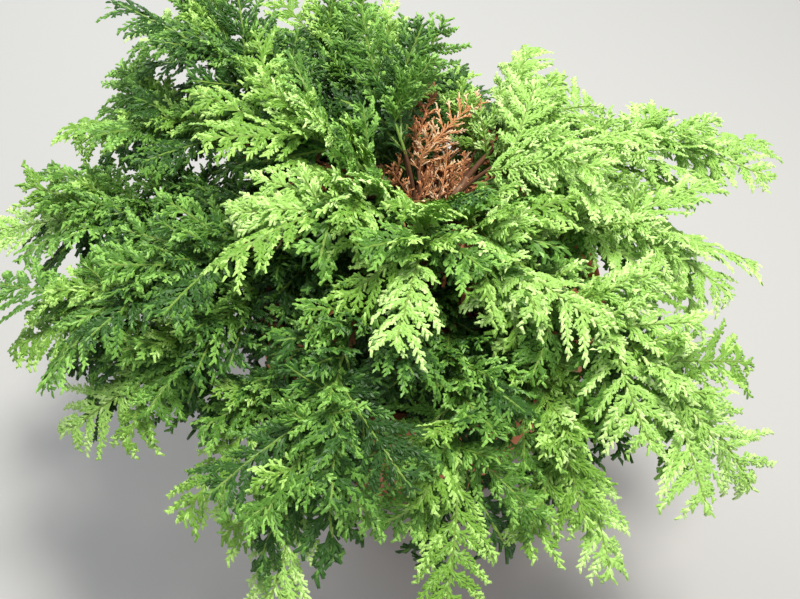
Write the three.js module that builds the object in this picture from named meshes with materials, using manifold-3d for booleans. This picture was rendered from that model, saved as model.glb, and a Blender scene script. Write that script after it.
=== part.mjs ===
// A low, spreading evergreen conifer with flat lacy sprays, growing in a plain clay pot.
// Millimetres, +Z up. The origin is the middle of the pot's flat underside, and -Y is the front.

import * as THREE from "three";
import { mergeVertices } from "three/addons/utils/BufferGeometryUtils.js";
import Module from "manifold-3d";

const wasm = await Module();
wasm.setup();

// The pot: a plain tapered clay pot with a banded rim and three drainage holes
const POT_HEIGHT = 165;
const POT_RIM_RADIUS = 95;
const POT_BASE_RADIUS = 64;
const POT_WALL = 7;
const POT_FLOOR = 9;
const RIM_BAND_HEIGHT = 36;
const RIM_STEP = 5;
const EDGE_ROUND = 2;
const POT_SEGMENTS = 32;
const DRAIN_HOLES = 3;
const DRAIN_RADIUS = 6;
const DRAIN_SEGMENTS = 12;
const DRAIN_CIRCLE_RADIUS = 30;

// The potting mix fills the pot to a little below its rim, and falls a little towards the wall
const GROUND_LEVEL = 150;
const GROUND_FALL = 3;
const GROUND_FLAT_RADIUS = 22;
const GROUND_SHOULDER = 0.6;
const GROUND_SHOULDER_FALL = 0.3;

// The trunk: a short stem under the crown, flared at its foot and leaning a little
const TRUNK_HEIGHT = 58;
const TRUNK_BASE_RADIUS = 8.7;
const TRUNK_TOP_RADIUS = 6.5;
const TRUNK_LEAN = 5;
const TRUNK_LEAN_BACK = 2;
const TRUNK_SIDES = 10;
const TRUNK_RINGS = 6;
const RING_CROWDING = 1.5;
const FLARE_RADIUS = 5.3;
const FLARE_HEIGHT = 7;
const FLARE_LOBES = 3;
const LOBE_DEPTH = 0.16;
const LOBE_TURN = 0.6;

// The wood of the boughs, from their seats sunk in the trunk to where their foliage begins
const BOUGH_SIDES = 5;
const BOUGH_RINGS = 5;
const BOUGH_BASE_RADIUS = 3.1;
const BOUGH_TIP_RADIUS = 1.9;
const INNER_BOUGH_SHARE = 0.62;
const SEAT_DEPTH = 3;

// A bough's line is a curve with two handles, as shares of its reach, arch and bend
const FIRST_HANDLE = { reach: 0.24, rise: 0.85, bend: 1 };
const SECOND_HANDLE = { reach: 0.62, rise: 1.08, bend: 1.6 };

// The space that each mass of foliage keeps to, and what it stays clear of
const PATH_SAMPLES = 60;
const LAYER_FLATNESS = 2;
const SPACE_OVERREACH = 24;
const TOUCH_GAP = 0.3;
const SPRAY_GAP = 0.8;
const POT_MARGIN = 4;

// The stem of a mass of foliage, and the sprays on it
const STEM_SIDES = 3;
const STEM_RINGS = 6;
const STEM_RADIUS = 1.5;
const STEM_TIP_RADIUS = 0.8;
const STATION_SPACING = 11.4;
const STATION_OFFSET = 0.4;
const INNER_SPRAY_SHARE = 0.86;
const SHORTER_SPRAYS = [1, 0.84, 0.68, 0.54];
const FIRST_SEED = 100;
const TURN_SPREAD = 0.15;
const SIDE_TURN = { start: 1, tip: 0.68 };
const SIDE_TILT = { start: 0.05, tip: -0.12 };
const RAISED_TURN = { start: 0.35, tip: 0.35 };
const RAISED_TILT = { start: 0.75, tip: 0.3 };
const RAISED_EVERY = 3;

// One spray of foliage: a toothed blade, with a slim three-sided rib
const SPRAY_LENGTH = 62;
const SPRAY_HALF_WIDTH = 23;
const TIP_SPRAY_LENGTH = 55;
const TIP_SPRAY_SHOWS = 0.92;
const SPRAY_NOD = 9;
const SPRAY_TEETH = 3;
const RIB_RADIUS = 1.2;
const RIB_TAPER = 0.5;
const RIB_KEEL = 0.6;
const RIB_SHARE = 0.86;
const TOOTH_ANGLE = 0.86;
const TOOTH_SEAT = 0.3;
const TOOTH_DROOP = 0.12;
const TOOTH_LENGTHS = [0.85, 1.1];

// Each bough: bearing in degrees (0 right, 90 back), reach from the axis, heights above the
// ground of its seat, arch and tip, sideways bend, and the length of bare wood before the foliage
const OUTER_BOUGHS = [
  { bearing: 22, reach: 201, seat: 10, arch: 64, tip: 45, bend: 6, bare: 44 },
  { bearing: -6, reach: 156, seat: 25, arch: 82, tip: 47, bend: -5, bare: 40 },
  { bearing: -42, reach: 190, seat: 40, arch: 88, tip: 38, bend: -8, bare: 44 },
  { bearing: -66, reach: 183, seat: 10, arch: 62, tip: 34, bend: 6, bare: 42 },
  { bearing: -88, reach: 185, seat: 25, arch: 80, tip: 30, bend: 5, bare: 42 },
  { bearing: -109, reach: 197, seat: 40, arch: 96, tip: 30, bend: -6, bare: 44 },
  { bearing: -128, reach: 178, seat: 10, arch: 62, tip: 34, bend: 6, bare: 42 },
  { bearing: -144, reach: 193, seat: 25, arch: 80, tip: 38, bend: -5, bare: 44 },
  { bearing: -161, reach: 206, seat: 40, arch: 94, tip: 42, bend: 7, bare: 44 },
  { bearing: 180, reach: 224, seat: 10, arch: 68, tip: 48, bend: -6, bare: 46 },
  { bearing: 162, reach: 206, seat: 25, arch: 86, tip: 66, bend: -6, bare: 44 },
  { bearing: 144, reach: 190, seat: 40, arch: 110, tip: 98, bend: 7, bare: 42 },
  { bearing: 123, reach: 158, seat: 10, arch: 84, tip: 104, bend: -5, bare: 36 },
  { bearing: 104, reach: 124, seat: 25, arch: 94, tip: 92, bend: 4, bare: 32 },
  { bearing: 84, reach: 152, seat: 10, arch: 36, tip: 36, bend: 4, bare: 62 },
  { bearing: 64, reach: 138, seat: 25, arch: 78, tip: 64, bend: -4, bare: 40 },
  { bearing: 43, reach: 130, seat: 40, arch: 84, tip: 52, bend: 5, bare: 38 },
];
const INNER_BOUGHS = [
  { bearing: -100, reach: 98, seat: 50, arch: 112, tip: 80, bend: 4, bare: 20 },
  { bearing: -140, reach: 104, seat: 50, arch: 118, tip: 88, bend: -4, bare: 20 },
  { bearing: 170, reach: 108, seat: 50, arch: 120, tip: 96, bend: 4, bare: 20 },
  { bearing: 128, reach: 80, seat: 50, arch: 114, tip: 106, bend: -3, bare: 18 },
  { bearing: 8, reach: 96, seat: 50, arch: 106, tip: 76, bend: 4, bare: 20 },
  { bearing: -55, reach: 104, seat: 50, arch: 106, tip: 72, bend: -4, bare: 20 },
];
const DEAD_BOUGHS = [
  { bearing: 94, reach: 84, seat: 46, arch: 76, tip: 54, bend: 3, bare: 20 },
  { bearing: 81, reach: 78, seat: 33, arch: 58, tip: 44, bend: -3, bare: 20 },
];
const BACK_BOUGHS = [
  { bearing: 142, reach: 142, seat: 17.5, arch: 54, tip: 38, bend: 5, bare: 42 },
  { bearing: 100, reach: 122, seat: 17.5, arch: 52, tip: 36, bend: -4, bare: 40 },
  { bearing: 53, reach: 126, seat: 16, arch: 52, tip: 36, bend: 4, bare: 40 },
];

const UP = new THREE.Vector3(0, 0, 1);

function material(color, roughness) {
  return new THREE.MeshStandardMaterial({ color, roughness, metalness: 0 });
}

const CLAY = material(0xb5694a, 0.85);
const POTTING_MIX = material(0x3d2a1e, 0.95);
const BARK = material(0x6d5140, 0.9);
const FRESH_GREEN = material(0x7fb24c, 0.7);
const DEEP_GREEN = material(0x4f8a34, 0.7);
const DEAD_BROWN = material(0x9a5f35, 0.9);

// Seeded random numbers from 0 to 1, the same on every run
function seeded(seed) {
  let state = seed >>> 0;
  return () => {
    state = (state + 0x6d2b79f5) >>> 0;
    let mixed = Math.imul(state ^ (state >>> 15), state | 1);
    mixed ^= mixed + Math.imul(mixed ^ (mixed >>> 7), mixed | 61);
    return ((mixed ^ (mixed >>> 14)) >>> 0) / 4294967296;
  };
}

function lerp(from, to, share) {
  return from + (to - from) * share;
}

// A closed mesh from points and from faces given as lists of three point numbers
function meshFrom(points, faces) {
  const positions = new Float32Array(points.flatMap((point) => point.toArray()));
  const geometry = new THREE.BufferGeometry();
  geometry.setAttribute("position", new THREE.BufferAttribute(positions, 3));
  geometry.setIndex(faces.flat());
  return geometry;
}

function toSolid(geometry) {
  const bare = geometry.clone();
  bare.deleteAttribute("normal");
  bare.deleteAttribute("uv");
  const merged = mergeVertices(bare, 1e-4);
  const vertProperties = new Float32Array(merged.attributes.position.array);
  const triVerts = new Uint32Array(merged.index.array);
  return new wasm.Manifold(new wasm.Mesh({ numProp: 3, vertProperties, triVerts }));
}

function toGeometry(solid) {
  const mesh = solid.getMesh();
  const geometry = new THREE.BufferGeometry();
  geometry.setAttribute("position", new THREE.BufferAttribute(mesh.vertProperties, 3));
  geometry.setIndex(new THREE.BufferAttribute(mesh.triVerts, 1));
  return geometry;
}

// A turned solid about the Z axis, from [radius, height] pairs that start and end on the axis
function turned(profile) {
  const outline = profile.map(([radius, height]) => new THREE.Vector2(radius, height));
  const geometry = new THREE.LatheGeometry(outline, POT_SEGMENTS);
  geometry.rotateX(Math.PI / 2);
  return geometry;
}

// A tapering tube of rings round a list of centres, with flat ends
function limb(centres, radiusAt, sides) {
  const points = [];
  const faces = [];
  centres.forEach((centre, ring) => {
    const before = centres[Math.max(ring - 1, 0)];
    const after = centres[Math.min(ring + 1, centres.length - 1)];
    const along = after.clone().sub(before).normalize();
    const across = new THREE.Vector3().crossVectors(UP, along);
    if (across.lengthSq() < 1e-6) across.set(1, 0, 0);
    across.normalize();
    const lift = new THREE.Vector3().crossVectors(along, across);
    for (let side = 0; side < sides; side += 1) {
      const turn = (2 * Math.PI * side) / sides;
      const radius = radiusAt(ring / (centres.length - 1), turn);
      const point = centre.clone();
      point.addScaledVector(across, radius * Math.cos(turn));
      point.addScaledVector(lift, radius * Math.sin(turn));
      points.push(point);
    }
  });
  for (let ring = 0; ring < centres.length - 1; ring += 1) {
    for (let side = 0; side < sides; side += 1) {
      const here = ring * sides + side;
      const next = ring * sides + ((side + 1) % sides);
      faces.push([here, next, next + sides], [here, next + sides, here + sides]);
    }
  }
  const lastRing = (centres.length - 1) * sides;
  for (let side = 1; side < sides - 1; side += 1) {
    faces.push([0, side + 1, side], [lastRing, lastRing + side, lastRing + side + 1]);
  }
  return meshFrom(points, faces);
}

function insideRadius(height) {
  const share = (height - POT_FLOOR) / (POT_HEIGHT - POT_FLOOR);
  return lerp(POT_BASE_RADIUS - POT_WALL, POT_RIM_RADIUS - POT_WALL - EDGE_ROUND, share);
}

function pot() {
  const bandFoot = POT_HEIGHT - RIM_BAND_HEIGHT;
  const outsideAtBand = lerp(POT_BASE_RADIUS, POT_RIM_RADIUS - RIM_STEP, bandFoot / POT_HEIGHT);
  const body = turned([
    [0, 0],
    [POT_BASE_RADIUS - EDGE_ROUND, 0],
    [POT_BASE_RADIUS, EDGE_ROUND],
    [outsideAtBand, bandFoot - EDGE_ROUND],
    [POT_RIM_RADIUS - EDGE_ROUND, bandFoot],
    [POT_RIM_RADIUS, POT_HEIGHT - EDGE_ROUND],
    [POT_RIM_RADIUS - EDGE_ROUND, POT_HEIGHT],
    [insideRadius(POT_HEIGHT), POT_HEIGHT],
    [insideRadius(POT_FLOOR), POT_FLOOR],
    [0, POT_FLOOR],
  ]);
  let solid = toSolid(body);
  for (let hole = 0; hole < DRAIN_HOLES; hole += 1) {
    const turn = (2 * Math.PI * (hole + 0.5)) / DRAIN_HOLES;
    const drill = new THREE.CylinderGeometry(DRAIN_RADIUS, DRAIN_RADIUS, POT_FLOOR * 4, DRAIN_SEGMENTS);
    drill.rotateX(Math.PI / 2);
    drill.translate(DRAIN_CIRCLE_RADIUS * Math.cos(turn), DRAIN_CIRCLE_RADIUS * Math.sin(turn), 0);
    solid = solid.subtract(toSolid(drill));
  }
  return toGeometry(solid);
}

function pottingMix() {
  const foot = POT_FLOOR + TOUCH_GAP;
  const edge = GROUND_LEVEL - GROUND_FALL;
  const shoulder = lerp(GROUND_FLAT_RADIUS, insideRadius(edge), GROUND_SHOULDER);
  return turned([
    [0, foot],
    [insideRadius(foot) - TOUCH_GAP, foot],
    [insideRadius(edge) - TOUCH_GAP, edge],
    [shoulder, GROUND_LEVEL - GROUND_FALL * GROUND_SHOULDER_FALL],
    [GROUND_FLAT_RADIUS, GROUND_LEVEL],
    [0, GROUND_LEVEL],
  ]);
}

function trunkCentre(height) {
  const share = height / TRUNK_HEIGHT;
  return new THREE.Vector3(-TRUNK_LEAN * share * share, TRUNK_LEAN_BACK * share, GROUND_LEVEL + height);
}

function trunkRadius(height, turn) {
  const flare = Math.exp(-height / FLARE_HEIGHT);
  const lobes = 1 + LOBE_DEPTH * flare * Math.cos(FLARE_LOBES * turn + LOBE_TURN);
  const taper = lerp(TRUNK_BASE_RADIUS, TRUNK_TOP_RADIUS, height / TRUNK_HEIGHT);
  return (taper + FLARE_RADIUS * flare) * lobes;
}

// The trunk's solid from its flat cut at the ground, or grown by a clearance on all sides where
// it cuts the feet of the boughs
function trunkSolid(clearance) {
  const heights = [];
  for (let ring = 0; ring < TRUNK_RINGS; ring += 1) {
    heights.push(TRUNK_HEIGHT * Math.pow(ring / (TRUNK_RINGS - 1), RING_CROWDING));
  }
  const centres = heights.map((height) => new THREE.Vector3(0, 0, height));
  centres[0].z -= clearance;
  centres[TRUNK_RINGS - 1].z += clearance;
  const radiusAt = (share, turn) => {
    return trunkRadius(heights[Math.round(share * (TRUNK_RINGS - 1))], turn) + clearance;
  };
  const stem = limb(centres, radiusAt, TRUNK_SIDES);
  const positions = stem.attributes.position;
  for (let index = 0; index < positions.count; index += 1) {
    const place = trunkCentre(positions.getZ(index));
    positions.setX(index, positions.getX(index) + place.x);
    positions.setY(index, positions.getY(index) + place.y);
    positions.setZ(index, place.z + TOUCH_GAP);
  }
  return toSolid(stem);
}

// The line that a bough follows, from its seat in the trunk over its arch to its furthest tip
function boughPath(bough) {
  const bearing = THREE.MathUtils.degToRad(bough.bearing);
  const outward = new THREE.Vector3(Math.cos(bearing), Math.sin(bearing), 0);
  const sideways = new THREE.Vector3(-outward.y, outward.x, 0);
  const seat = trunkCentre(bough.seat);
  seat.addScaledVector(outward, trunkRadius(bough.seat, bearing) - SEAT_DEPTH);
  const place = (reach, height, bend) => {
    const point = new THREE.Vector3(0, 0, GROUND_LEVEL + height);
    return point.addScaledVector(outward, reach).addScaledVector(sideways, bend);
  };
  const firstRise = lerp(bough.seat, bough.arch, FIRST_HANDLE.rise);
  const secondRise = bough.arch * SECOND_HANDLE.rise;
  return new THREE.CubicBezierCurve3(
    seat,
    place(bough.reach * FIRST_HANDLE.reach, firstRise, bough.bend * FIRST_HANDLE.bend),
    place(bough.reach * SECOND_HANDLE.reach, secondRise, bough.bend * SECOND_HANDLE.bend),
    place(bough.reach, bough.tip, 0),
  );
}

// How full a spray is along its rib: narrower at its foot and at its tip
function fullnessAt(share) {
  return 0.55 + 0.45 * Math.sin(Math.PI * (0.18 + 0.72 * share));
}

// A spray: a slim three-sided rib that nods towards its tip, with a tooth on each side of
// every length of it, so that its outline is that of a lacy frond
function spray(root, heading, face, size, random) {
  const side = new THREE.Vector3().crossVectors(face, heading).normalize();
  const points = [];
  const faces = [];
  const centreAt = (share) => {
    const centre = root.clone().addScaledVector(heading, size.length * share);
    return centre.addScaledVector(face, -size.nod * share * share);
  };
  for (let ring = 0; ring <= SPRAY_TEETH; ring += 1) {
    const share = (RIB_SHARE * ring) / SPRAY_TEETH;
    const centre = centreAt(share);
    const radius = RIB_RADIUS * (1 - RIB_TAPER * share);
    const low = centre.clone().addScaledVector(face, -radius * RIB_KEEL);
    points.push(centre.clone().addScaledVector(face, radius));
    points.push(low.clone().addScaledVector(side, radius), low.clone().addScaledVector(side, -radius));
  }
  for (let ring = 0; ring < SPRAY_TEETH; ring += 1) {
    const here = ring * 3;
    const next = here + 3;
    const share = (RIB_SHARE * (ring + TOOTH_SEAT)) / SPRAY_TEETH;
    for (const hand of [1, -1]) {
      const variety = lerp(TOOTH_LENGTHS[0], TOOTH_LENGTHS[1], random());
      const reach = (size.halfWidth / Math.sin(TOOTH_ANGLE)) * fullnessAt(share) * variety;
      const apex = centreAt(share);
      apex.addScaledVector(heading, reach * Math.cos(TOOTH_ANGLE));
      apex.addScaledVector(side, hand * reach * Math.sin(TOOTH_ANGLE));
      apex.addScaledVector(face, -size.nod * share - reach * TOOTH_DROOP);
      const tip = points.length;
      points.push(apex);
      const corners = hand > 0 ? [here, next, next + 1, here + 1] : [here + 2, next + 2, next, here];
      corners.forEach((corner, index) => faces.push([corner, corners[(index + 1) % 4], tip]));
    }
    faces.push([here + 1, next + 1, next + 2], [here + 1, next + 2, here + 2]);
  }
  const tip = points.length;
  const last = SPRAY_TEETH * 3;
  points.push(centreAt(1));
  faces.push([last, tip, last + 1], [last + 1, tip, last + 2], [last + 2, tip, last], [0, 1, 2]);
  return { points, faces };
}

const boughs = [
  ...OUTER_BOUGHS.map((bough, index) => ({ ...bough, kind: "outer", number: index + 1 })),
  ...INNER_BOUGHS.map((bough, index) => ({ ...bough, kind: "inner", number: index + 1 })),
  ...DEAD_BOUGHS.map((bough, index) => ({ ...bough, kind: "dead", number: index + 1 })),
  ...BACK_BOUGHS.map((bough, index) => ({ ...bough, kind: "back", number: index + 1 })),
];
for (const bough of boughs) {
  bough.curve = boughPath(bough);
  bough.length = bough.curve.getLength();
  bough.samples = bough.curve.getSpacedPoints(PATH_SAMPLES);
}

// Distance from a bough's line, with height counted more, so that each bough holds a flat layer
function distanceTo(samples, point) {
  let nearest = Infinity;
  for (const sample of samples) {
    const rise = LAYER_FLATNESS * (sample.z - point.z);
    nearest = Math.min(nearest, (sample.x - point.x) ** 2 + (sample.y - point.y) ** 2 + rise ** 2);
  }
  return Math.sqrt(nearest);
}

// A mass of foliage keeps to its own space: the points that lie nearer to its own bough than to
// any other, give or take a little, and clear of the pot
function keepsToItsSpace(points, own) {
  return points.every((point) => {
    const flat = Math.hypot(point.x, point.y);
    const floor = flat < POT_RIM_RADIUS + POT_MARGIN ? POT_HEIGHT + POT_MARGIN : 0;
    if (point.z < floor) return false;
    const mine = distanceTo(own.samples, point) - SPACE_OVERREACH;
    return boughs.every((other) => other === own || distanceTo(other.samples, point) > mine);
  });
}

function boughSolid(bough) {
  const centres = [];
  for (let ring = 0; ring < BOUGH_RINGS; ring += 1) {
    const share = (bough.bare / bough.length) * (ring / (BOUGH_RINGS - 1));
    centres.push(bough.curve.getPointAt(share));
  }
  const size = bough.kind === "outer" ? 1 : INNER_BOUGH_SHARE;
  const radiusAt = (share) => size * lerp(BOUGH_BASE_RADIUS, BOUGH_TIP_RADIUS, share);
  const wood = toSolid(limb(centres, radiusAt, BOUGH_SIDES));
  return wood.subtract(trunkSolid(TOUCH_GAP));
}

// The stem of a mass of foliage carries on from its bough's end, and stops inside its last spray
function stemOf(bough) {
  const size = bough.kind === "outer" ? 1 : INNER_SPRAY_SHARE;
  const start = (bough.bare + 2 * TOUCH_GAP) / bough.length;
  const end = 1 - (TIP_SPRAY_LENGTH * size * TIP_SPRAY_SHOWS) / bough.length;
  const centres = [];
  for (let ring = 0; ring < STEM_RINGS; ring += 1) {
    centres.push(bough.curve.getPointAt(lerp(start, end, ring / (STEM_RINGS - 1))));
  }
  const radiusAt = (share) => lerp(STEM_RADIUS, STEM_TIP_RADIUS, share);
  const solid = toSolid(limb(centres, radiusAt, STEM_SIDES));
  return { size, start, end, solid };
}

// Where each spray leaves a stem, and how it lies: the one at the tip first, then the rest, left
// and right in turn, with some of them raised over the stem
function stationsOf(bough, stem, random) {
  const full = { length: SPRAY_LENGTH * stem.size, halfWidth: SPRAY_HALF_WIDTH * stem.size };
  const tip = { ...full, length: TIP_SPRAY_LENGTH * stem.size, share: stem.end, turn: 0, tilt: 0, seed: 0 };
  const stations = [tip];
  const count = Math.floor(((stem.end - stem.start) * bough.length) / (STATION_SPACING * stem.size));
  for (let number = count - 1; number >= 0; number -= 1) {
    const place = (number + STATION_OFFSET) / count;
    const raised = number % RAISED_EVERY === RAISED_EVERY - 1;
    const [turns, tilts] = raised ? [RAISED_TURN, RAISED_TILT] : [SIDE_TURN, SIDE_TILT];
    const turn = lerp(turns.start, turns.tip, place) + TURN_SPREAD * (random() - 0.5);
    stations.push({
      ...full,
      share: lerp(stem.start, stem.end, place),
      turn: number % 2 === 0 ? turn : -turn,
      tilt: lerp(tilts.start, tilts.tip, place),
      seed: Math.floor(random() * 1e6),
    });
  }
  return stations;
}

function sprayAt(bough, station, shorter) {
  const root = bough.curve.getPointAt(station.share);
  const along = bough.curve.getTangentAt(station.share);
  const side = new THREE.Vector3().crossVectors(UP, along).normalize();
  const lift = new THREE.Vector3().crossVectors(along, side);
  const heading = along.clone().multiplyScalar(Math.cos(station.turn));
  heading.addScaledVector(side, Math.sin(station.turn)).addScaledVector(lift, station.tilt).normalize();
  const face = lift.clone().addScaledVector(heading, -lift.dot(heading)).normalize();
  const size = {
    length: station.length * shorter,
    halfWidth: station.halfWidth * shorter,
    nod: SPRAY_NOD * shorter,
  };
  return spray(root, heading, face, size, seeded(station.seed));
}

function boxesMeet(one, other) {
  return [0, 1, 2].every((axis) => one.min[axis] <= other.max[axis] && other.min[axis] <= one.max[axis]);
}

function touches(solid, neighbour) {
  if (!boxesMeet(solid.boundingBox(), neighbour.boundingBox())) return false;
  return solid.minGap(neighbour, SPRAY_GAP) < SPRAY_GAP;
}

// Every mass takes one spray in each round, so that no bough crowds out its neighbours. A spray
// that would leave its space, or touch a limb or another mass, is made shorter or skipped
function growFoliage() {
  const limbs = [trunkSolid(0), ...boughs.map(boughSolid)];
  const masses = boughs.map((bough, index) => {
    const stem = stemOf(bough);
    return { bough, solids: [stem.solid], stations: stationsOf(bough, stem, seeded(FIRST_SEED + index)) };
  });
  const rounds = Math.max(...masses.map((mass) => mass.stations.length));
  for (let round = 0; round < rounds; round += 1) {
    for (const mass of masses.filter((each) => round < each.stations.length)) {
      const others = masses.filter((each) => each !== mass).flatMap((each) => each.solids);
      for (const shorter of SHORTER_SPRAYS) {
        const { points, faces } = sprayAt(mass.bough, mass.stations[round], shorter);
        if (!keepsToItsSpace(points, mass.bough)) continue;
        const solid = toSolid(meshFrom(points, faces));
        if ([...limbs, ...others].some((neighbour) => touches(solid, neighbour))) continue;
        mass.solids.push(solid);
        break;
      }
    }
  }
  return masses.map((mass) => wasm.Manifold.union(mass.solids));
}

function part(name, geometry, finish) {
  const mesh = new THREE.Mesh(geometry, finish);
  mesh.name = name;
  return mesh;
}

const plant = new THREE.Group();
plant.add(part("pot", pot(), CLAY));
plant.add(part("potting_mix", pottingMix(), POTTING_MIX));
plant.add(part("trunk", toGeometry(trunkSolid(0)), BARK));
const foliage = growFoliage();
boughs.forEach((bough, index) => {
  const label = `${bough.kind}_${String(bough.number).padStart(2, "0")}`;
  const leaves = { outer: DEEP_GREEN, inner: FRESH_GREEN, dead: DEAD_BROWN, back: DEEP_GREEN }[bough.kind];
  plant.add(part(`bough_${label}`, toGeometry(boughSolid(bough)), BARK));
  plant.add(part(`foliage_${label}`, toGeometry(foliage[index]), leaves));
});

export default plant;
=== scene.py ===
"""Dresses a potted conifer: its clay pot, potting mix, bark, twigs and flat scale-leaved sprays.

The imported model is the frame. Every size is in metres, and the growth repeats the rule of the part's
source, carried on from the sprays that its solids stand for to their side shoots and scale leaves."""

import math
import random
from collections import namedtuple

import bpy
import numpy as np
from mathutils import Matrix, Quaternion, Vector, noise


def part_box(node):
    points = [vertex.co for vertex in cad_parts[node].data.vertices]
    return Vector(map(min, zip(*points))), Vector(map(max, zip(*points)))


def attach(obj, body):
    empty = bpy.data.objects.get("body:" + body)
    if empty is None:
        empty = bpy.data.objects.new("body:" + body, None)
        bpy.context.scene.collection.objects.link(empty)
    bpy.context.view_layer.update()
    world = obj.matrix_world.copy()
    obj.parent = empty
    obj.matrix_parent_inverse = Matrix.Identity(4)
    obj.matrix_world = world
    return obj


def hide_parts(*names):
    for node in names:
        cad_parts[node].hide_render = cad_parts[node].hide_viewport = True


bl_info = {
    "name": "Potted Conifer",
    "version": (1, 0, 0),
    "blender": (4, 5, 0),
    "location": "View3D > Sidebar > Conifer",
    "description": "Makes a low spreading conifer with lacy sprays in a plain clay pot",
    "category": "Add Mesh",
}

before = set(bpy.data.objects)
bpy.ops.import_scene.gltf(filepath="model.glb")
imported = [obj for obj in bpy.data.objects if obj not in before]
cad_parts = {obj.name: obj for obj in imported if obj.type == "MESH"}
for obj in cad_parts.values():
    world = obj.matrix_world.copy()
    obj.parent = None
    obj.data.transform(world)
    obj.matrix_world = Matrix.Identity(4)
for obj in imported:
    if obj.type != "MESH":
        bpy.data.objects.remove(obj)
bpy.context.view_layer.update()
BODY = "root"
MM = 0.001
UP = Vector((0, 0, 1))

# The pot's outer corner from the frame, and what its property group leaves out
POT_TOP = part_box("pot")[1]
RIM_STEP = 5 * MM
EDGE_ROUND = 2 * MM
BAND_SLOPE = 0.6 * MM
CORNER_ROUNDS = (0, 2.6, 1.2, 1.8, 3.4, 3.0, 6.0, 0)
CORNER_STEPS = 5
OUTLINE_STEP = 2.1 * MM
POT_SEGMENTS = 108
POT_SHARP = math.radians(40)
DRAIN_HOLES = 3
DRAIN_SIDES = 40
DRAIN_RADIUS = 6 * MM
DRAIN_CIRCLE_RADIUS = 30 * MM

# The faint ridges of turning, which keep clear of the pot's edges
TURNING_RIDGE = 0.12 * MM
TURNING_PITCH = 7.3 * MM
TURNING_WANDER = 1.6
TURNING_NOISE = 260
RIDGES_CLEAR = 3 * MM

# The potting mix, whose lumps are a coarse noise with a share of a fine one, and the crumbs on it
GROUND_LEVEL = 150 * MM
GROUND_FALL = 3 * MM
GROUND_FLAT_RADIUS = 22 * MM
GROUND_LUMPS = 1.3 * MM
LUMPS = (90, 260, 0.5)
NEAR_TRUNK = 18 * MM
TRUNK_DIP = 0.4 * MM
WALL_GAP = 0.3 * MM
FOOT_GAP = 1 * MM
MIX_SEGMENTS = 96
MIX_RINGS = 34
MIX_SHARP = math.radians(50)
CRUMB_MARGIN = 5 * MM
CRUMB_SHAPES = ((1, 0.5, 0.24), (1, 0.72, 0.3), (1, 0.34, 0.3))
CRUMB_CORNERS = (0.7, 1.0)
CRUMB_TURNS = ((-0.5, -0.5, 0.0), (0.5, 0.5, 6.283))
CRUMB_SEED = 900
CRUMB_TINT_SEED = 5
CRUMB_TINTS = ("crumb_dark", "crumb_brown", "crumb_pale")

# The trunk
TRUNK_HEIGHT = 58 * MM
TRUNK_BASE_RADIUS = 8.7 * MM
TRUNK_TOP_RADIUS = 6.5 * MM
TRUNK_TOP_ROUND = 5 * MM
TRUNK_LEAN = 5 * MM
TRUNK_LEAN_BACK = 2 * MM
TRUNK_CUT = 0.3 * MM
TRUNK_TOP_FLAT = 0.04
TRUNK_RINGS = 84
TRUNK_RING_POWER = 1.25
TRUNK_SIDES = 72
TRUNK_SEED = 3
FLARE_RADIUS = 5.3 * MM
FLARE_HEIGHT = 7 * MM
FLARE_LOBES = 3
LOBE_DEPTH = 0.16
LOBE_TURN = 0.6

# The boughs' wood, and the handles of the curve that each follows
BOUGH_BASE_RADIUS = 3.1 * MM
BOUGH_TIP_RADIUS = 1.9 * MM
BOUGH_RINGS = 30
BOUGH_SIDES = 16
COLLAR = 0.4
COLLAR_LENGTH = 4 * MM
INNER_BOUGH_SHARE = 0.62
SEAT_DEPTH = 3 * MM
FIRST_HANDLE = (0.24, 0.85, 1.0)
SECOND_HANDLE = (0.62, 1.08, 1.6)
PATH_STEPS = 200
PATH_SAMPLES = 60

# The bark's furrows, a coarse noise with a share of a fine one, drawn out along the limb
FURROWS = (420, 1100, 0.6)
FURROW_LEVEL = 0.25
GRAIN_ALONG = 0.22
GRAIN_SHIFT = (0.37, 0.61)

# The space that each mass of foliage keeps to
LAYER_FLATNESS = 2
SPACE_OVERREACH = 24 * MM
POT_MARGIN = 4 * MM

# The opening over the dead boughs, which widens upward and leans to the front
HOLLOW_FOOT = Vector((2, 43, 200)) * MM
HOLLOW_RADIUS = 21 * MM
HOLLOW_FLARE = 0.16
HOLLOW_LEAN = 0.74

# How rows stand on their lines: the length before the first, and what the line has beyond the
# whole row, both in steps
STATION_ROW = (0.4, 0)
SHOOT_ROW = (0.6, 0.5)
BRANCHLET_ROW = (0.7, 0.4)
RIB_ROW = (0.5, 0)

# The sizes and seeds of a mass's sprays, and how far their lie strays
INNER_SPRAY_SHARE = 0.86
SHORTER_SPRAYS = (1, 0.84, 0.68, 0.54)
TIP_SPRAY_LENGTH = 55 * MM
TIP_SPRAY_SHOWS = 0.92
FIRST_SEED = 100
SEEDS = 10 ** 6
TURN_SPREAD = 0.5
TUFT_TURN_SPREAD = 1.9
TILT_SPREAD = 0.44
ROLL_SPREAD = 0.55
LENGTH_SPREAD = (0.78, 1.0)
NOD_BY_LENGTH = 1.6

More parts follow.
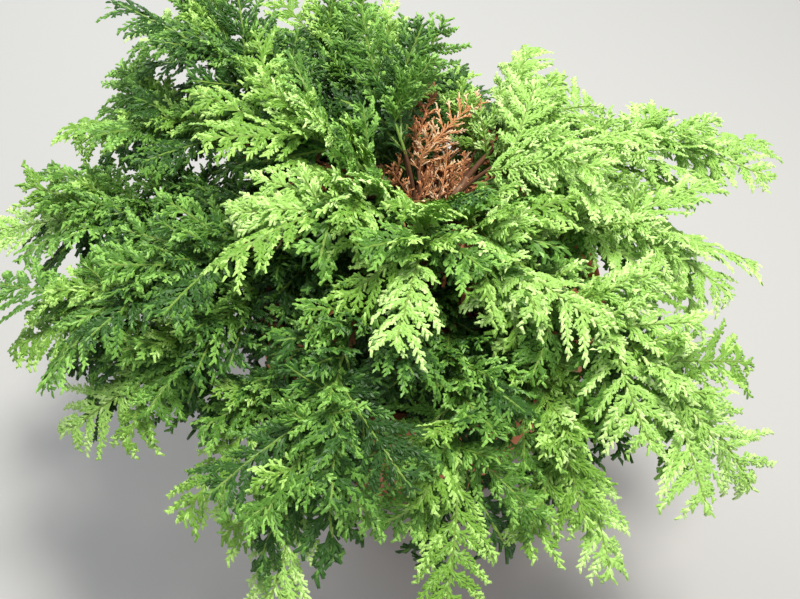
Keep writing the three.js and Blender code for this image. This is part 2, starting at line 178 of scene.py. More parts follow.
# How sprays lie: turn and tilt from the stem's start to its tip, the share of a full spray's
# length, how light it is beside the rest, which is painted light on the tip and raised sprays and
# painted shade on those under the stem, the share of light tips, which are paler new growth with
# painted highlight, and the size of its leaves
Lie = namedtuple("Lie", "turns tilts lengths light tips leaf_size")
LIES = {
    "tip": Lie((0, 0), (0, 0), (1, 1), 0.34, 0.55, 1.0),
    "side": Lie((1.0, 0.7), (0.2, 0.08), (1, 1), 0.0, 0.45, 1.0),
    "short": Lie((0.75, 0.5), (0.45, 0.25), (0.72, 0.8), 0.08, 0.5, 1.0),
    "raised": Lie((0.35, 0.35), (0.75, 0.3), (0.8, 0.66), 0.2, 0.55, 1.0),
    "erect": Lie((0.7, 0.5), (1.4, 0.8), (0.58, 0.5), 0.16, 0.5, 0.95),
    "tuft": Lie((0.9, 0.7), (1.9, 1.3), (0.46, 0.4), 0.14, 0.5, 0.95),
    "under": Lie((0.7, 0.5), (-0.4, -0.3), (0.9, 0.78), -0.32, 0.15, 1.4),
}
LIE_RHYTHM = (
    "side", "tuft", "under", "tuft", "raised", "under", "side", "tuft", "under", "tuft", "short", "erect",
)
Station = namedtuple("Station", "share turn tilt length lie")

# At the plant's rear left the sprays rise. On its left they stand closer, and each outer bough
# there ends in a fan. The inner boughs' tips rise, three boughs at the rear stay slim, and the
# back boughs hold their sprays closest.
REAR_LEFT = 2.2
REAR_LEFT_LIFT = 0.5
LEFT = 2.8
LEFT_CLOSER = 0.25
FAN_COSINE = -0.75
LEFT_FAN = (0.5, -0.5)
LEFT_FAN_LENGTH = 40 * MM
INNER_TIP_TILT = 0.4
SLIM = {"outer_16": 0.6, "outer_17": 0.8, "back_03": 0.75}
BACK_SPACING = 0.6

# How light a spray is: what everything has, what its share of the stem gives, straight and cubed,
# what the right side and both sides give, the change on the rear left and on inner boughs, and the
# least light of each palette. The share of the stem stands for fresher growth further out and for
# painted shade further in. The right side, the rear left and the inner boughs on top give painted
# light and painted shade.
LIGHT_BASE = 0.29
LIGHT_BY_SHARE = (0.28, 0.18)
PAINTED_LIGHT_ON_RIGHT = 0.37
LIGHT_BY_SIDES = 0.17
PAINTED_LIGHT_AT_REAR_LEFT = -0.03
LIGHT_SPREAD = 0.17
INNER_LIGHT = 0.23
INNER_PAINTED_LIGHT_ON_RIGHT = -0.24
INNER_PAINTED_LIGHT_AT_REAR_LEFT = -0.26
INNER_TIP_LIGHT = -0.4
LEAST_LIGHT = {"pale": 0.88, "fresh": 0.63, "mid": 0.42, "deep": 0.12}

# How many sprays are dead or dry: of a dead bough's, of those under a stem and of the tufts up to a
# share of the stem, and of those at the feet of the rear right boughs
DEAD_SHARE = 0.52
UNDER_DEAD = 0.35
UNDER_DEAD_UNTIL = 0.5
TUFT_DRY = 0.24
TUFT_DRY_UNTIL = 0.45
DRY_BEARING = 0.9
DRY_COSINE = 0.85
DRY_UNTIL = 0.22
DRY_SHARE = 0.5

# What is left of the dead sprays, which start some way along their stems
DEAD_KEPT = 0.42
DEAD_SPACING = 1.2
DEAD_WIDTH = 0.7
DEAD_LEAF_SIZE = 0.68
DEAD_TIP_TILT = 0.5
DEAD_BARE = 0.34

# The short dead shoots left on the wood inside the crown
INSIDE_SHARES = (0.5, 0.98)
INSIDE_SPACING = 3.6 * MM
INSIDE_LENGTHS = (14 * MM, 27 * MM)
INSIDE_LIFT = (-0.4, 0.7)
INSIDE_TURNS = (0.4, 1.3)
INSIDE_ROLL = 0.8
INSIDE_DEAD = 0.7
INSIDE_TIPS = 0.4

# A spray's outline, as in the source, and its own side shoots
TOOTH_ANGLE = 0.86
TOOTH_DROOP = 0.12
TOOTH_SHARES = (0.09, 0.37, 0.66)
RIB_SHARES = (0.33, 0.66, 1)
LEAST_FULLNESS = 0.55
FULLNESS_SWEEP = (0.18, 0.9)
POINT_SLOPE = 1.5
POINT_WIDTH = 3 * MM
SPRAY_BEND = 0.18
NOD_SPREAD = (0.4, 1.5)
SHOOT_VARIETY = (0.55, 1.03)
SHOOT_SWEEP = 0.07
SHOOT_ROLL = 0.4
SHOOT_ANGLE_SPREAD = 0.2
SHOOT_DROOP_SPREAD = (-0.12, 0.14)
SHOOT_AHEAD = 0.05
RIB_AHEAD = 0.02
TIPS_BY_SHARE = 0.3
TIPS_FROM = (0.1, 0.75)

# The last branchlets, and how they fork
BRANCHLET_SPACING = 1.45 * MM
BRANCHLET_LENGTHS = (5.3 * MM, 3.0 * MM)
BRANCHLET_VARIETY = (0.75, 1.1)
BRANCHLET_ANGLE = 0.62
BRANCHLET_ANGLE_SPREAD = 0.14
BRANCHLET_DROOP = (-0.1, 0.25)
BRANCHLET_ROLL = 0.35
RIB_BRANCHLET_SPACING = 1.8 * MM
RIB_BRANCHLET_LENGTH = 4.8 * MM
RIB_TIPS = 0.6
FORKS = ((0.72, 0.34, 0.56), (0.5, 0.6, 0.5))
FORK_LEAF = 0.85

# The rows of scale leaves on ribs and stems, and the twigs under them
SHOOT_LEAF_STEP = 4.2 * MM
RIB_LEAF_STEP = 4.4 * MM
LEAF_OVERLAP = 1.4
LEAF_ROLL = 0.5
SHOOT_LEAF = 0.9
RIB_LEAF = 0.8
STEM_LEAF = 1.05
STEM_LEAF_LIFT = 0.3 * MM
RIB_RADII = (0.42 * MM, 0.2 * MM)
RIB_STEPS = 5
FOLIAGE_START = 0.88
YOUNG_FROM = 0.55
YOUNG_RADII = (0.95 * MM, 0.42 * MM)
STEM_STEPS = 8
STEM_OVERLAP = 2 * MM
LEAF_OUTLINE = ((0, 0.46), (1, 0.27), (1, -0.27), (0, -0.46))
LEAF_FOOT = -0.3
LEAF_RIDGE = (0.55, 0, 0.5)

# Bearing in degrees (0 right, 90 back), then in millimetres the reach from the axis, the heights
# above the ground of seat, arch and tip, the sideways bend, and the bare wood before the foliage
BOUGHS = {
    "outer": (
        (22, 201, 10, 64, 45, 6, 44),
        (-6, 156, 25, 82, 47, -5, 40),
        (-42, 190, 40, 88, 38, -8, 44),
        (-66, 183, 10, 62, 34, 6, 42),
        (-88, 185, 25, 80, 30, 5, 42),
        (-109, 197, 40, 96, 30, -6, 44),
        (-128, 178, 10, 62, 34, 6, 42),
        (-144, 193, 25, 80, 38, -5, 44),
        (-161, 206, 40, 94, 42, 7, 44),
        (180, 224, 10, 68, 48, -6, 46),
        (162, 206, 25, 86, 66, -6, 44),
        (144, 190, 40, 110, 98, 7, 42),
        (123, 158, 10, 84, 104, -5, 36),
        (104, 124, 25, 94, 92, 4, 32),
        (84, 152, 10, 36, 36, 4, 62),
        (64, 138, 25, 78, 64, -4, 40),
        (43, 130, 40, 84, 52, 5, 38),
    ),
    "inner": (
        (-100, 98, 50, 112, 80, 4, 20),
        (-140, 104, 50, 118, 88, -4, 20),
        (170, 108, 50, 120, 96, 4, 20),
        (128, 80, 50, 114, 106, -3, 18),
        (8, 96, 50, 106, 76, 4, 20),
        (-55, 104, 50, 106, 72, -4, 20),
    ),
    "dead": (
        (94, 84, 46, 76, 54, 3, 20),
        (81, 78, 33, 58, 44, -3, 20),
    ),
    "back": (
        (142, 142, 17.5, 54, 38, 5, 42),
        (100, 122, 17.5, 52, 36, -4, 40),
        (53, 126, 16, 52, 36, 4, 40),
    ),
}
SLOTS = {
    "outer": "foliage_green",
    "inner": "foliage_fresh",
    "dead": "foliage_dead",
    "back": "foliage_green",
}

# The plain colours of the leaves and twigs, dealt out by spray, by their names in the foliage's
# property group, and the leaf and tip colour of each palette. From pale to bluish the palettes
# stand partly for the sprays' age and partly for painted light and shade, and the lighter tips
# partly for painted highlight.
TINTS = (
    "pale_tip", "pale", "fresh_tip", "fresh", "mid_tip", "mid", "deep_tip", "deep", "bluish_tip", "bluish",
    "shoot", "straw", "dead_pale", "dead", "twig",
)
PALETTES = {
    **{name: (name, f"{name}_tip") for name in ("pale", "fresh", "mid", "deep", "bluish")},
    "dead": ("dead", "dead_pale"),
    "dry": ("dead_pale", "straw"),
}
DEAD_TINTS = ("dead", "dead_pale", "straw")

# The values that a piece's points store for its node tree, and their kinds
LEAF_VALUES = {"along": "FLOAT_VECTOR", "face": "FLOAT_VECTOR", "size": "FLOAT_VECTOR", "tint": "INT"}
TWIG_VALUES = {"thickness": "FLOAT", "tint": "INT"}

# Patches of the clay, the mix and the bark: the scale of their noise, and the values where a patch
# starts and is full, for some with the noise's detail
CLAY_MOTTLES = (22.0, 0.35, 0.68)
CLAY_DARK_SPECKS = (420.0, 0.62, 0.72)
CLAY_PALE_SPECKS = (760.0, 0.66, 0.74)
DAMP_PATCHES = (30.0, 0.3, 0.62)
BLOOM_PATCHES = (46.0, 0.5, 0.78, 8.0)
PEAT_PATCHES = (180.0, 0.35, 0.65)
FIBRE_SPECKS = (520.0, 0.6, 0.7)
BARK_STREAKS = (320.0, 0.36, 0.62, 6.0)
BARK_FLAKES = (700.0, 0.58, 0.7)
BARK_YOUNG = (90.0, 0.55, 0.75)

# The lowest and highest place and the soft edge of the pot's bands, the rim's counted from its top
DAMP_BAND = (-0.01, 0.018, 0.03)
FOOT_BAND = (0.022, 0.046, 0.03)
RIM_BAND = (-0.012, 0.01, 0.02)

# Each material's grain: its coarse and its fine scale, the fine one's share, and the bumps' height
CLAY_GRAIN = (260.0, 1700.0, 0.45, 0.25 * MM)
MIX_GRAIN = (240.0, 1200.0, 0.4, 1.2 * MM)
BARK_GRAIN = (500.0, 1600.0, 0.4, 0.5 * MM)

# The soft lights: place, side, share of the key's power, and tint
LIGHT_TARGET = Vector((0, 0, 180)) * MM
LIGHTS = {
    "key": ((0.15, 0.1, 1.35), 0.3, 1, (1.0, 0.97, 0.92)),
    "back": ((-0.5, 0.9, 0.9), 0.6, 0.35, (0.95, 0.98, 1.0)),
    "fill": ((0.9, -1.1, 0.6), 1.0, 0.2, (1.0, 1.0, 1.0)),
}
SKY_TINT = (0.9, 0.95, 1.0, 1)

# The camera's place round the crown, as the photograph sees it
CAMERA_TARGET = Vector((-15, -35, 190)) * MM
CAMERA_ELEVATION = math.radians(53)
CAMERA_DISTANCE = 444 * MM
CAMERA_LENS = 40
SENSOR_WIDTH = 36


def lerp(start, end, share):
    """The value at a share of the way from one to another."""
    return start + (end - start) * share


def colour(*values):
    """A shader's red, green and blue from 8-bit screen values."""
    tones = [value / 255 for value in values]
    return tuple(tone / 12.92 if tone <= 0.04045 else ((tone + 0.055) / 1.055) ** 2.4 for tone in tones)


def circle(radius, sides, height=0):
    """Points of a level ring round the axis."""
    turns = [2 * math.pi * side / sides for side in range(sides)]
    return [Vector((radius * math.cos(turn), radius * math.sin(turn), height)) for turn in turns]


def rough(place, coarse, fine, share):
    """Coarse noise at a place, with a share of fine noise."""
    return noise.noise(place * coarse) + share * noise.noise(place * fine)


# Meshes and nodes


def mesh_piece(name, points, faces=(), edges=()):
    """A new object with the given mesh, linked to the scene."""
    mesh = bpy.data.meshes.new(name)
    mesh.from_pydata([tuple(point) for point in points], edges, faces)
    mesh.update()
    piece = bpy.data.objects.new(name, mesh)
    bpy.context.scene.collection.objects.link(piece)
    return piece


def disc_faces(rings, sides):
    """Faces of a disc of rings round a middle point, which comes first."""
    faces = []
    for side in range(sides):
        after = (side + 1) % sides
        faces.append((0, 1 + side, 1 + after))
        for ring in range(rings - 1):
            low = 1 + ring * sides
            high = low + sides
            faces.append((low + side, high + side, high + after, low + after))
    return faces


def tube_faces(rings, sides, first=0):
    """Quads between rings, and the two closed ends."""
    faces = []
    for ring in range(rings - 1):
        for side in range(sides):
            here = first + ring * sides + side
            after = first + ring * sides + (side + 1) % sides
            faces.append((here, after, after + sides, here + sides))
    faces.append(tuple(first + side for side in reversed(range(sides))))
    last = first + (rings - 1) * sides
    faces.append(tuple(last + side for side in range(sides)))
    return faces


def shade(piece, material):
    """Gives a piece its one material and smooth shading."""
    piece.data.materials.clear()
    piece.data.materials.append(material)
    piece.data.shade_smooth()


def settle(piece, slot, *nodes):
    """Puts a finished piece on the frame's body in place of its nodes; its slot is not used."""
    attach(piece, BODY)
    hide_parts(*nodes)


def keep_used_materials(mesh):
    """Drops the material slots that no face uses."""
    numbers = np.zeros(len(mesh.polygons), dtype=np.int32)
    mesh.polygons.foreach_get("material_index", numbers)
    used, numbers = np.unique(numbers, return_inverse=True)
    materials = [mesh.materials[number] for number in used if number < len(mesh.materials)]
    mesh.materials.clear()
    for material in materials:
        mesh.materials.append(material)
    mesh.polygons.foreach_set("material_index", numbers.astype(np.int32))


def make_plain(piece):
    """Turns a piece's live modifiers into its plain mesh, and drops the values that only they read."""
    graph = bpy.context.evaluated_depsgraph_get()
    mesh = bpy.data.meshes.new_from_object(piece.evaluated_get(graph))
    piece.modifiers.clear()
    piece.data = mesh
    keep_used_materials(mesh)
    for name in (*LEAF_VALUES, *TWIG_VALUES):
        if name in mesh.attributes:
            mesh.attributes.remove(mesh.attributes[name])
    if not mesh.polygons:
        raise RuntimeError(f"{piece.name} came out empty")


def add_values(mesh, name, kind, values):
    """Stores one value for each point of a mesh, for its node tree or its material to read."""
    attribute = mesh.attributes.new(name, kind, "POINT")
    field = "vector" if kind == "FLOAT_VECTOR" else "value"
    attribute.data.foreach_set(field, np.asarray(values).ravel())


def bare_points(name, rows, kinds, edges=()):
    """A piece of bare points, one for each row, which store the rest of the row by name."""
    points, *columns = zip(*rows)
    piece = mesh_piece(name, points, edges=edges)
    for (title, kind), values in zip(kinds.items(), columns):
        add_values(piece.data, title, kind, values)
    return piece


def add(tree, kind, inputs=None, **settings):
    """A new node with its settings, its values and its links."""
    node = tree.nodes.new(kind)
    for name, value in settings.items():
        setattr(node, name, value)
    feed(tree, node, inputs or {})
    return node


def feed(tree, node, inputs):
    """Gives a node's inputs their values, or their links from other sockets."""
    for name, value in inputs.items():
        if isinstance(value, bpy.types.NodeSocket):
            tree.links.new(value, node.inputs[name])
        else:
            node.inputs[name].default_value = value


def new_tree(name, tree_type, inputs, output):
    """An empty node group with its named inputs and its output, and its two end nodes."""
    tree = bpy.data.node_groups.new(name, tree_type)
    for title, kind, default in inputs:
        socket = tree.interface.new_socket(title, in_out="INPUT", socket_type=f"NodeSocket{kind}")
        if default is not None:
            socket.default_value = default
    tree.interface.new_socket(output[0], in_out="OUTPUT", socket_type=f"NodeSocket{output[1]}")
    return tree, tree.nodes.new("NodeGroupInput"), tree.nodes.new("NodeGroupOutput")


def geometry_tree(name, *inputs):
    """An empty Geometry Nodes tree with the named inputs, and its two end nodes."""
    inputs = (("Geometry", "Geometry", None), *inputs)
    return new_tree(name, "GeometryNodeTree", inputs, ("Geometry", "Geometry"))


def run_tree(piece, tree, values):
    """Runs a tree on a piece with the given values for its named inputs, and keeps the result."""
    modifier = piece.modifiers.new(tree.name, "NODES")
    modifier.node_group = tree
    for socket in tree.interface.items_tree:
        if socket.in_out == "INPUT" and socket.name in values:
            modifier[socket.identifier] = values[socket.name]
    make_plain(piece)


def stored(tree, name, kind):
    """The output of a node that reads a stored value."""
    node = add(tree, "GeometryNodeInputNamedAttribute", {"Name": name}, data_type=kind)
    return next(socket for socket in node.outputs if socket.enabled and socket.name == "Attribute")


def finish_tree(tree, geometry, end, materials):
    """Realizes what a tree made, deals out materials by each face's stored tint number, and ends it."""
    geometry = add(tree, "GeometryNodeRealizeInstances", {"Geometry": geometry}).outputs[0]
    for number, material in enumerate(materials):
        tint = stored(tree, "tint", "INT")
        chosen = add(tree, "FunctionNodeCompare", {2: tint, 3: number}, data_type="INT", operation="EQUAL")
        inputs = {"Geometry": geometry, "Selection": chosen.outputs[0], "Material": material}
        geometry = add(tree, "GeometryNodeSetMaterial", inputs).outputs[0]
    tree.links.new(geometry, end.inputs[0])
    return tree


def shape_on_points(tree, points, shape, rotation, scale):
    """One copy of an object's shape on every point."""
    shape = add(tree, "GeometryNodeObjectInfo", {"Object": shape, "As Instance": True}).outputs["Geometry"]
    inputs = {"Points": points, "Instance": shape, "Rotation": rotation, "Scale": scale}
    return add(tree, "GeometryNodeInstanceOnPoints", inputs).outputs[0]


def leaf_tree(materials):
    """Sets one leaf on every point, turned by its stored directions and sized by its stored size."""
    tree, start, end = geometry_tree(
        "Scale leaves",
        ("Leaf", "Object", None),
        ("Leaf width", "Float", 2.0 * MM),
        ("Leaf thickness", "Float", 1.1 * MM),
    )
    ahead = {"Vector": stored(tree, "along", "FLOAT_VECTOR")}
    along = add(tree, "FunctionNodeAlignRotationToVector", ahead, axis="X")
    turned = {"Rotation": along.outputs[0], "Vector": stored(tree, "face", "FLOAT_VECTOR")}
    facing = add(tree, "FunctionNodeAlignRotationToVector", turned, axis="Z", pivot_axis="X")
    sizes = {"X": 1.0, "Y": start.outputs["Leaf width"], "Z": start.outputs["Leaf thickness"]}
    whole = add(tree, "ShaderNodeCombineXYZ", sizes)
    own = stored(tree, "size", "FLOAT_VECTOR")
    scaled = add(tree, "ShaderNodeVectorMath", {0: whole.outputs[0], 1: own}, operation="MULTIPLY")
    points, leaf = start.outputs["Geometry"], start.outputs["Leaf"]
    leaves = shape_on_points(tree, points, leaf, facing.outputs[0], scaled.outputs[0])
    return finish_tree(tree, leaves, end, materials)


def twig_tree(materials):
    """Turns every line of points into a round twig of its stored thickness."""
    tree, start, end = geometry_tree("Twigs", ("Sides", "Int", 5))
    lines = add(tree, "GeometryNodeMeshToCurve", {"Mesh": start.outputs["Geometry"]})
    ring = {"Resolution": start.outputs["Sides"], "Radius": 1.0}
    ring = add(tree, "GeometryNodeCurvePrimitiveCircle", ring)
    tube = {"Curve": lines.outputs[0], "Profile Curve": ring.outputs[0], "Fill Caps": True}
    tube["Scale"] = stored(tree, "thickness", "FLOAT")
    tube = add(tree, "GeometryNodeCurveToMesh", tube)
    smooth = add(tree, "GeometryNodeSetShadeSmooth", {"Geometry": tube.outputs[0]})
    return finish_tree(tree, smooth.outputs[0], end, materials)


def crumb_tree(materials):
    """Scatters crumbs over a surface, turned every way and of mixed sizes."""
    tree, start, end = geometry_tree(
        "Crumbs",
        ("Crumb", "Object", None),
        ("Density", "Float", 9000.0),
        ("Smallest", "Float", 2.5 * MM),
        ("Largest", "Float", 8.0 * MM),
        ("Seed", "Int", 1),
    )
    spread = {"Mesh": start.outputs["Geometry"]}
    spread.update({name: start.outputs[name] for name in ("Density", "Seed")})
    points = add(tree, "GeometryNodeDistributePointsOnFaces", spread).outputs["Points"]
    turn = dict(enumerate(CRUMB_TURNS))
    turn = add(tree, "FunctionNodeRandomValue", turn, data_type="FLOAT_VECTOR")
    size = {2: start.outputs["Smallest"], 3: start.outputs["Largest"]}
    size = add(tree, "FunctionNodeRandomValue", size, data_type="FLOAT")
    crumbs = shape_on_points(tree, points, start.outputs["Crumb"], turn.outputs[0], size.outputs[1])
    number = {4: 0, 5: len(materials) - 1, "Seed": CRUMB_TINT_SEED}
    number = add(tree, "FunctionNodeRandomValue", number, data_type="INT")
    tinted = {"Geometry": crumbs, "Name": "tint", "Value": number.outputs[2]}
    tinted = add(tree, "GeometryNodeStoreNamedAttribute", tinted, data_type="INT", domain="INSTANCE")
    return finish_tree(tree, tinted.outputs[0], end, materials)


# Materials


def new_material(name):
    """A material with its node tree and its one Principled shader."""
    material = bpy.data.materials.new(name)
    material.use_nodes = True
    return material, material.node_tree, material.node_tree.nodes["Principled BSDF"]


def plain_material(name, tint, roughness):
    """A plain colour, for what has no pattern."""
    material, tree, shader = new_material(name)
    feed(tree, shader, {"Base Color": (*tint, 1), "Roughness": roughness, "Specular IOR Level": 0.4})
    return material


def tint_materials(settings):
    """One plain material for each of the foliage's tints."""
    dull = (*DEAD_TINTS, "twig")
    return [plain_material(name, getattr(settings, name), 0.85 if name in dull else 0.5) for name in TINTS]


def shader_group(name, sizes, output):
    """An empty shader group with a vector and the named sizes as inputs, and its two end nodes."""
    inputs = [("Vector", "Vector", None), *[(title, "Float", size) for title, size in sizes.items()]]
    return new_tree(name, "ShaderNodeTree", inputs, (output, "Float"))


def mask_group():
    """A shared group: a patchy mask from noise, for mottling, stains and specks."""
    name = "Patchy mask"
    if name in bpy.data.node_groups:
        return bpy.data.node_groups[name]
    sizes = {"Scale": 40.0, "Detail": 4.0, "From": 0.45, "To": 0.6}
    tree, start, end = shader_group(name, sizes, "Mask")
    cloud = {title: start.outputs[title] for title in ("Vector", "Scale", "Detail")}
    cloud = add(tree, "ShaderNodeTexNoise", cloud)
    limits = {"Value": cloud.outputs[0], "From Min": start.outputs["From"], "From Max": start.outputs["To"]}
    tree.links.new(add(tree, "ShaderNodeMapRange", limits).outputs[0], end.inputs[0])
    return tree


def grain_group():
    """A shared group: the height of a coarse and a fine grain together, for bumps."""
    name = "Grain height"
    if name in bpy.data.node_groups:
        return bpy.data.node_groups[name]
    sizes = {"Coarse scale": 200.0, "Fine scale": 1500.0, "Fine share": 0.4}
    tree, start, end = shader_group(name, sizes, "Height")
    heights = {0: start.outputs["Fine share"]}
    for place, scale, detail in ((2, "Coarse scale", 5.0), (3, "Fine scale", 3.0)):
        cloud = {"Vector": start.outputs["Vector"], "Scale": start.outputs[scale], "Detail": detail}
        heights[place] = add(tree, "ShaderNodeTexNoise", cloud).outputs[0]
    both = add(tree, "ShaderNodeMix", heights, data_type="FLOAT")
    tree.links.new(both.outputs[0], end.inputs[0])
    return tree


def mask(tree, vector, scale, low, high, detail=4.0):
    """A patchy mask in a material."""
    inputs = {"Vector": vector, "Scale": scale, "Detail": detail, "From": low, "To": high}
    return add(tree, "ShaderNodeGroup", inputs, node_tree=mask_group()).outputs[0]


def bumps(tree, vector, coarse, fine, share, distance):
    """A normal with a coarse and a fine grain."""
    inputs = {"Vector": vector, "Coarse scale": coarse, "Fine scale": fine, "Fine share": share}
    grain = add(tree, "ShaderNodeGroup", inputs, node_tree=grain_group())
    bump = {"Height": grain.outputs[0], "Distance": distance, "Strength": 1.0}
    return add(tree, "ShaderNodeBump", bump).outputs[0]


def blend_colours(tree, share, first, second):
    """Two colours mixed by a mask; each is a socket, or red, green and blue."""
    inputs = {0: share}
    for number, value in ((6, first), (7, second)):
        inputs[number] = value if isinstance(value, bpy.types.NodeSocket) else (*value, 1)
    return add(tree, "ShaderNodeMix", inputs, data_type="RGBA").outputs[2]


def patched(tree, vector, base, *layers):
    """A colour with patches of others laid over it in turn."""
    for patches, tint in layers:
        base = blend_colours(tree, mask(tree, vector, *patches), base, tint)
    return base


def together(tree, operation, first, second):
    """Two masks made one by an operation."""
    return add(tree, "ShaderNodeMath", {0: first, 1: second}, operation=operation).outputs[0]


def band_mask(tree, height, low, high, soft):
    """A mask that is 1 between two heights, and fades over a soft edge."""
    rise = add(tree, "ShaderNodeMapRange", {"Value": height, "From Min": low - soft, "From Max": low})
    fall = add(tree, "ShaderNodeMapRange", {"Value": height, "From Min": high + soft, "From Max": high})
    return together(tree, "MULTIPLY", rise.outputs[0], fall.outputs[0])


def clay_material(pot):
    """Fired clay: mottled and specked, with mineral bloom low down and on the rim, and a damp foot."""
    material, tree, shader = new_material("fired_clay")
    place = add(tree, "ShaderNodeTexCoord").outputs["Object"]
    height = add(tree, "ShaderNodeSeparateXYZ", {0: place}).outputs["Z"]
    clay = patched(
        tree, place, pot.clay_deep,
        (CLAY_MOTTLES, pot.clay_pale),
        (CLAY_DARK_SPECKS, colour(140, 74, 50)),
        (CLAY_PALE_SPECKS, colour(224, 168, 134)),
    )
    damp = together(tree, "MULTIPLY", band_mask(tree, height, *DAMP_BAND), mask(tree, place, *DAMP_PATCHES))
    clay = blend_colours(tree, damp, clay, colour(142, 82, 58))
    low, high, soft = RIM_BAND
    rim_band = band_mask(tree, height, pot.height + low, pot.height + high, soft)
    bands = together(tree, "MAXIMUM", band_mask(tree, height, *FOOT_BAND), rim_band)
    bloom = together(tree, "MULTIPLY", bands, mask(tree, place, *BLOOM_PATCHES))
    roughness = add(tree, "ShaderNodeMapRange", {"Value": damp, "To Min": 0.88, "To Max": 0.7})
    feed(tree, shader, {
        "Base Color": blend_colours(tree, bloom, clay, pot.bloom),
        "Roughness": roughness.outputs[0],
        "Specular IOR Level": 0.3,
        "Normal": bumps(tree, place, *CLAY_GRAIN),
    })
    return material


def mix_material(mix):
    """Moist potting mix: dark peat with brown patches and paler fibres."""
    material, tree, shader = new_material("moist_mix")
    place = add(tree, "ShaderNodeTexCoord").outputs["Object"]
    layers = ((PEAT_PATCHES, mix.peat_brown), (FIBRE_SPECKS, colour(118, 90, 64)))
    peat = patched(tree, place, mix.peat_dark, *layers)
    normal = bumps(tree, place, *MIX_GRAIN)
    feed(tree, shader, {"Base Color": peat, "Roughness": 0.95, "Normal": normal})
    return material


def bark_material(wood):
    """Fibrous bark: streaks along each limb by its stored grain, with flakes and young red patches."""
    material, tree, shader = new_material("fibrous_bark")
    grain = add(tree, "ShaderNodeAttribute", attribute_name="grain").outputs["Vector"]
    bark = patched(
        tree, grain, wood.bark_deep,
        (BARK_STREAKS, wood.bark_pale),
        (BARK_FLAKES, colour(176, 148, 122)),
        (BARK_YOUNG, wood.bark_red),
    )
    feed(tree, shader, {
        "Base Color": bark,
        "Roughness": 0.9,
        "Specular IOR Level": 0.25,
        "Normal": bumps(tree, grain, *BARK_GRAIN),
    })
    return material


# The pot and its mix


def rounded_corner(before, corner, after, radius):
    """Points of a small arc in place of a corner of an outline."""
    first = (before - corner).normalized() * radius
    second = (after - corner).normalized() * radius
    points = []
    for step in range(CORNER_STEPS + 1):
        share = step / CORNER_STEPS
        near = (corner + first).lerp(corner, share)
        far = corner.lerp(corner + second, share)
        points.append(near.lerp(far, share))
    return points


def inside_radius(pot, height):
    """The radius of the pot's inner wall at a height."""
    share = (height - pot.floor) / (pot.height - pot.floor)
    return lerp(pot.base_radius - pot.wall, pot.rim_radius - pot.wall - EDGE_ROUND, share)


def pot_outline(pot):
    """The pot's profile, as radius and height from the axis under it round to the axis inside."""
    band_foot = pot.height - pot.band_height
    body_top = lerp(pot.base_radius, pot.rim_radius - RIM_STEP, band_foot / pot.height)
    corners = [Vector(pair) for pair in (
        (0, 0),
        (pot.base_radius, 0),
        (body_top, band_foot),
        (pot.rim_radius, band_foot + BAND_SLOPE),
        (pot.rim_radius, pot.height),
        (inside_radius(pot, pot.height), pot.height),
        (inside_radius(pot, pot.floor), pot.floor),
        (0, pot.floor),
    )]
    points = []
    for number, (corner, radius) in enumerate(zip(corners, CORNER_ROUNDS)):
        if radius:
            points += rounded_corner(corners[number - 1], corner, corners[number + 1], radius * MM)
        else:
            points.append(corner)
    return points


def fine_outline(pot, points):
    """The same outline with points no further apart than a step, and faint turning ridges outside."""
    fine = []
    for here, there in zip(points, points[1:]):
        parts = max(1, math.ceil((there - here).length / OUTLINE_STEP))
        for part in range(parts):
            point = here.lerp(there, part / parts)
            outside = point.x > inside_radius(pot, point.y) + RIDGES_CLEAR
            if outside and RIDGES_CLEAR < point.y < pot.height - RIDGES_CLEAR:
                ridge = math.sin(2 * math.pi * point.y / TURNING_PITCH)
                ridge += TURNING_WANDER * noise.noise(Vector((0, 0, point.y * TURNING_NOISE)))
                point = Vector((point.x - TURNING_RIDGE * (1 + 0.5 * ridge), point.y))
            fine.append(point)
    return [*fine, points[-1]]


def turned_piece(name, outline, sides):
    """A closed turned solid from an outline that starts and ends on the axis."""
    rings = outline[1:-1]
    points = [(0, 0, outline[0].y)]
    for point in rings:
        points += circle(point.x, sides, point.y)
    faces = [face[::-1] for face in disc_faces(len(rings), sides)]
    top = len(points)
    last = top - sides
    faces += [(last + side, last + (side + 1) % sides, top) for side in range(sides)]
    return mesh_piece(name, [*points, (0, 0, outline[-1].y)], faces)


def drill(piece, centre, depth):
    """Cuts a drainage hole down through a piece."""
    rings = [*circle(DRAIN_RADIUS, DRAIN_SIDES, -depth), *circle(DRAIN_RADIUS, DRAIN_SIDES, depth)]
    cutter = mesh_piece("drill", [centre + point for point in rings], tube_faces(2, DRAIN_SIDES))
    cut = piece.modifiers.new("hole", "BOOLEAN")
    cut.operation = "DIFFERENCE"
    cut.solver = "EXACT"
    cut.object = cutter
    make_plain(piece)
    bpy.data.objects.remove(cutter)


class CONIFER_OT_make_pot(bpy.types.Operator):
    """Make the turned clay pot with its rim band and drainage holes"""

    bl_idname = "conifer.make_pot"
    bl_label = "Pot"

    def execute(self, context):
        pot = context.scene.conifer_pot
        piece = turned_piece("clay_pot", fine_outline(pot, pot_outline(pot)), POT_SEGMENTS)
        for hole in range(DRAIN_HOLES):
            turn = 2 * math.pi * (hole + 0.5) / DRAIN_HOLES
            drill(piece, Vector((math.cos(turn), math.sin(turn), 0)) * DRAIN_CIRCLE_RADIUS, pot.floor * 3)
        shade(piece, clay_material(pot))
        piece.data.set_sharp_from_angle(angle=POT_SHARP)
        settle(piece, "clay", "pot")
        return {"FINISHED"}


def ground_height(pot, place):
    """The height of the lumpy top of the potting mix over a place on the floor."""
    edge = inside_radius(pot, GROUND_LEVEL)
    fall = GROUND_FALL * max(0, (place.length - GROUND_FLAT_RADIUS) / (edge - GROUND_FLAT_RADIUS)) ** 2
    away = min(1, place.length / NEAR_TRUNK)
    return GROUND_LEVEL - fall + GROUND_LUMPS * rough(place, *LUMPS) * away - TRUNK_DIP * (1 - away)


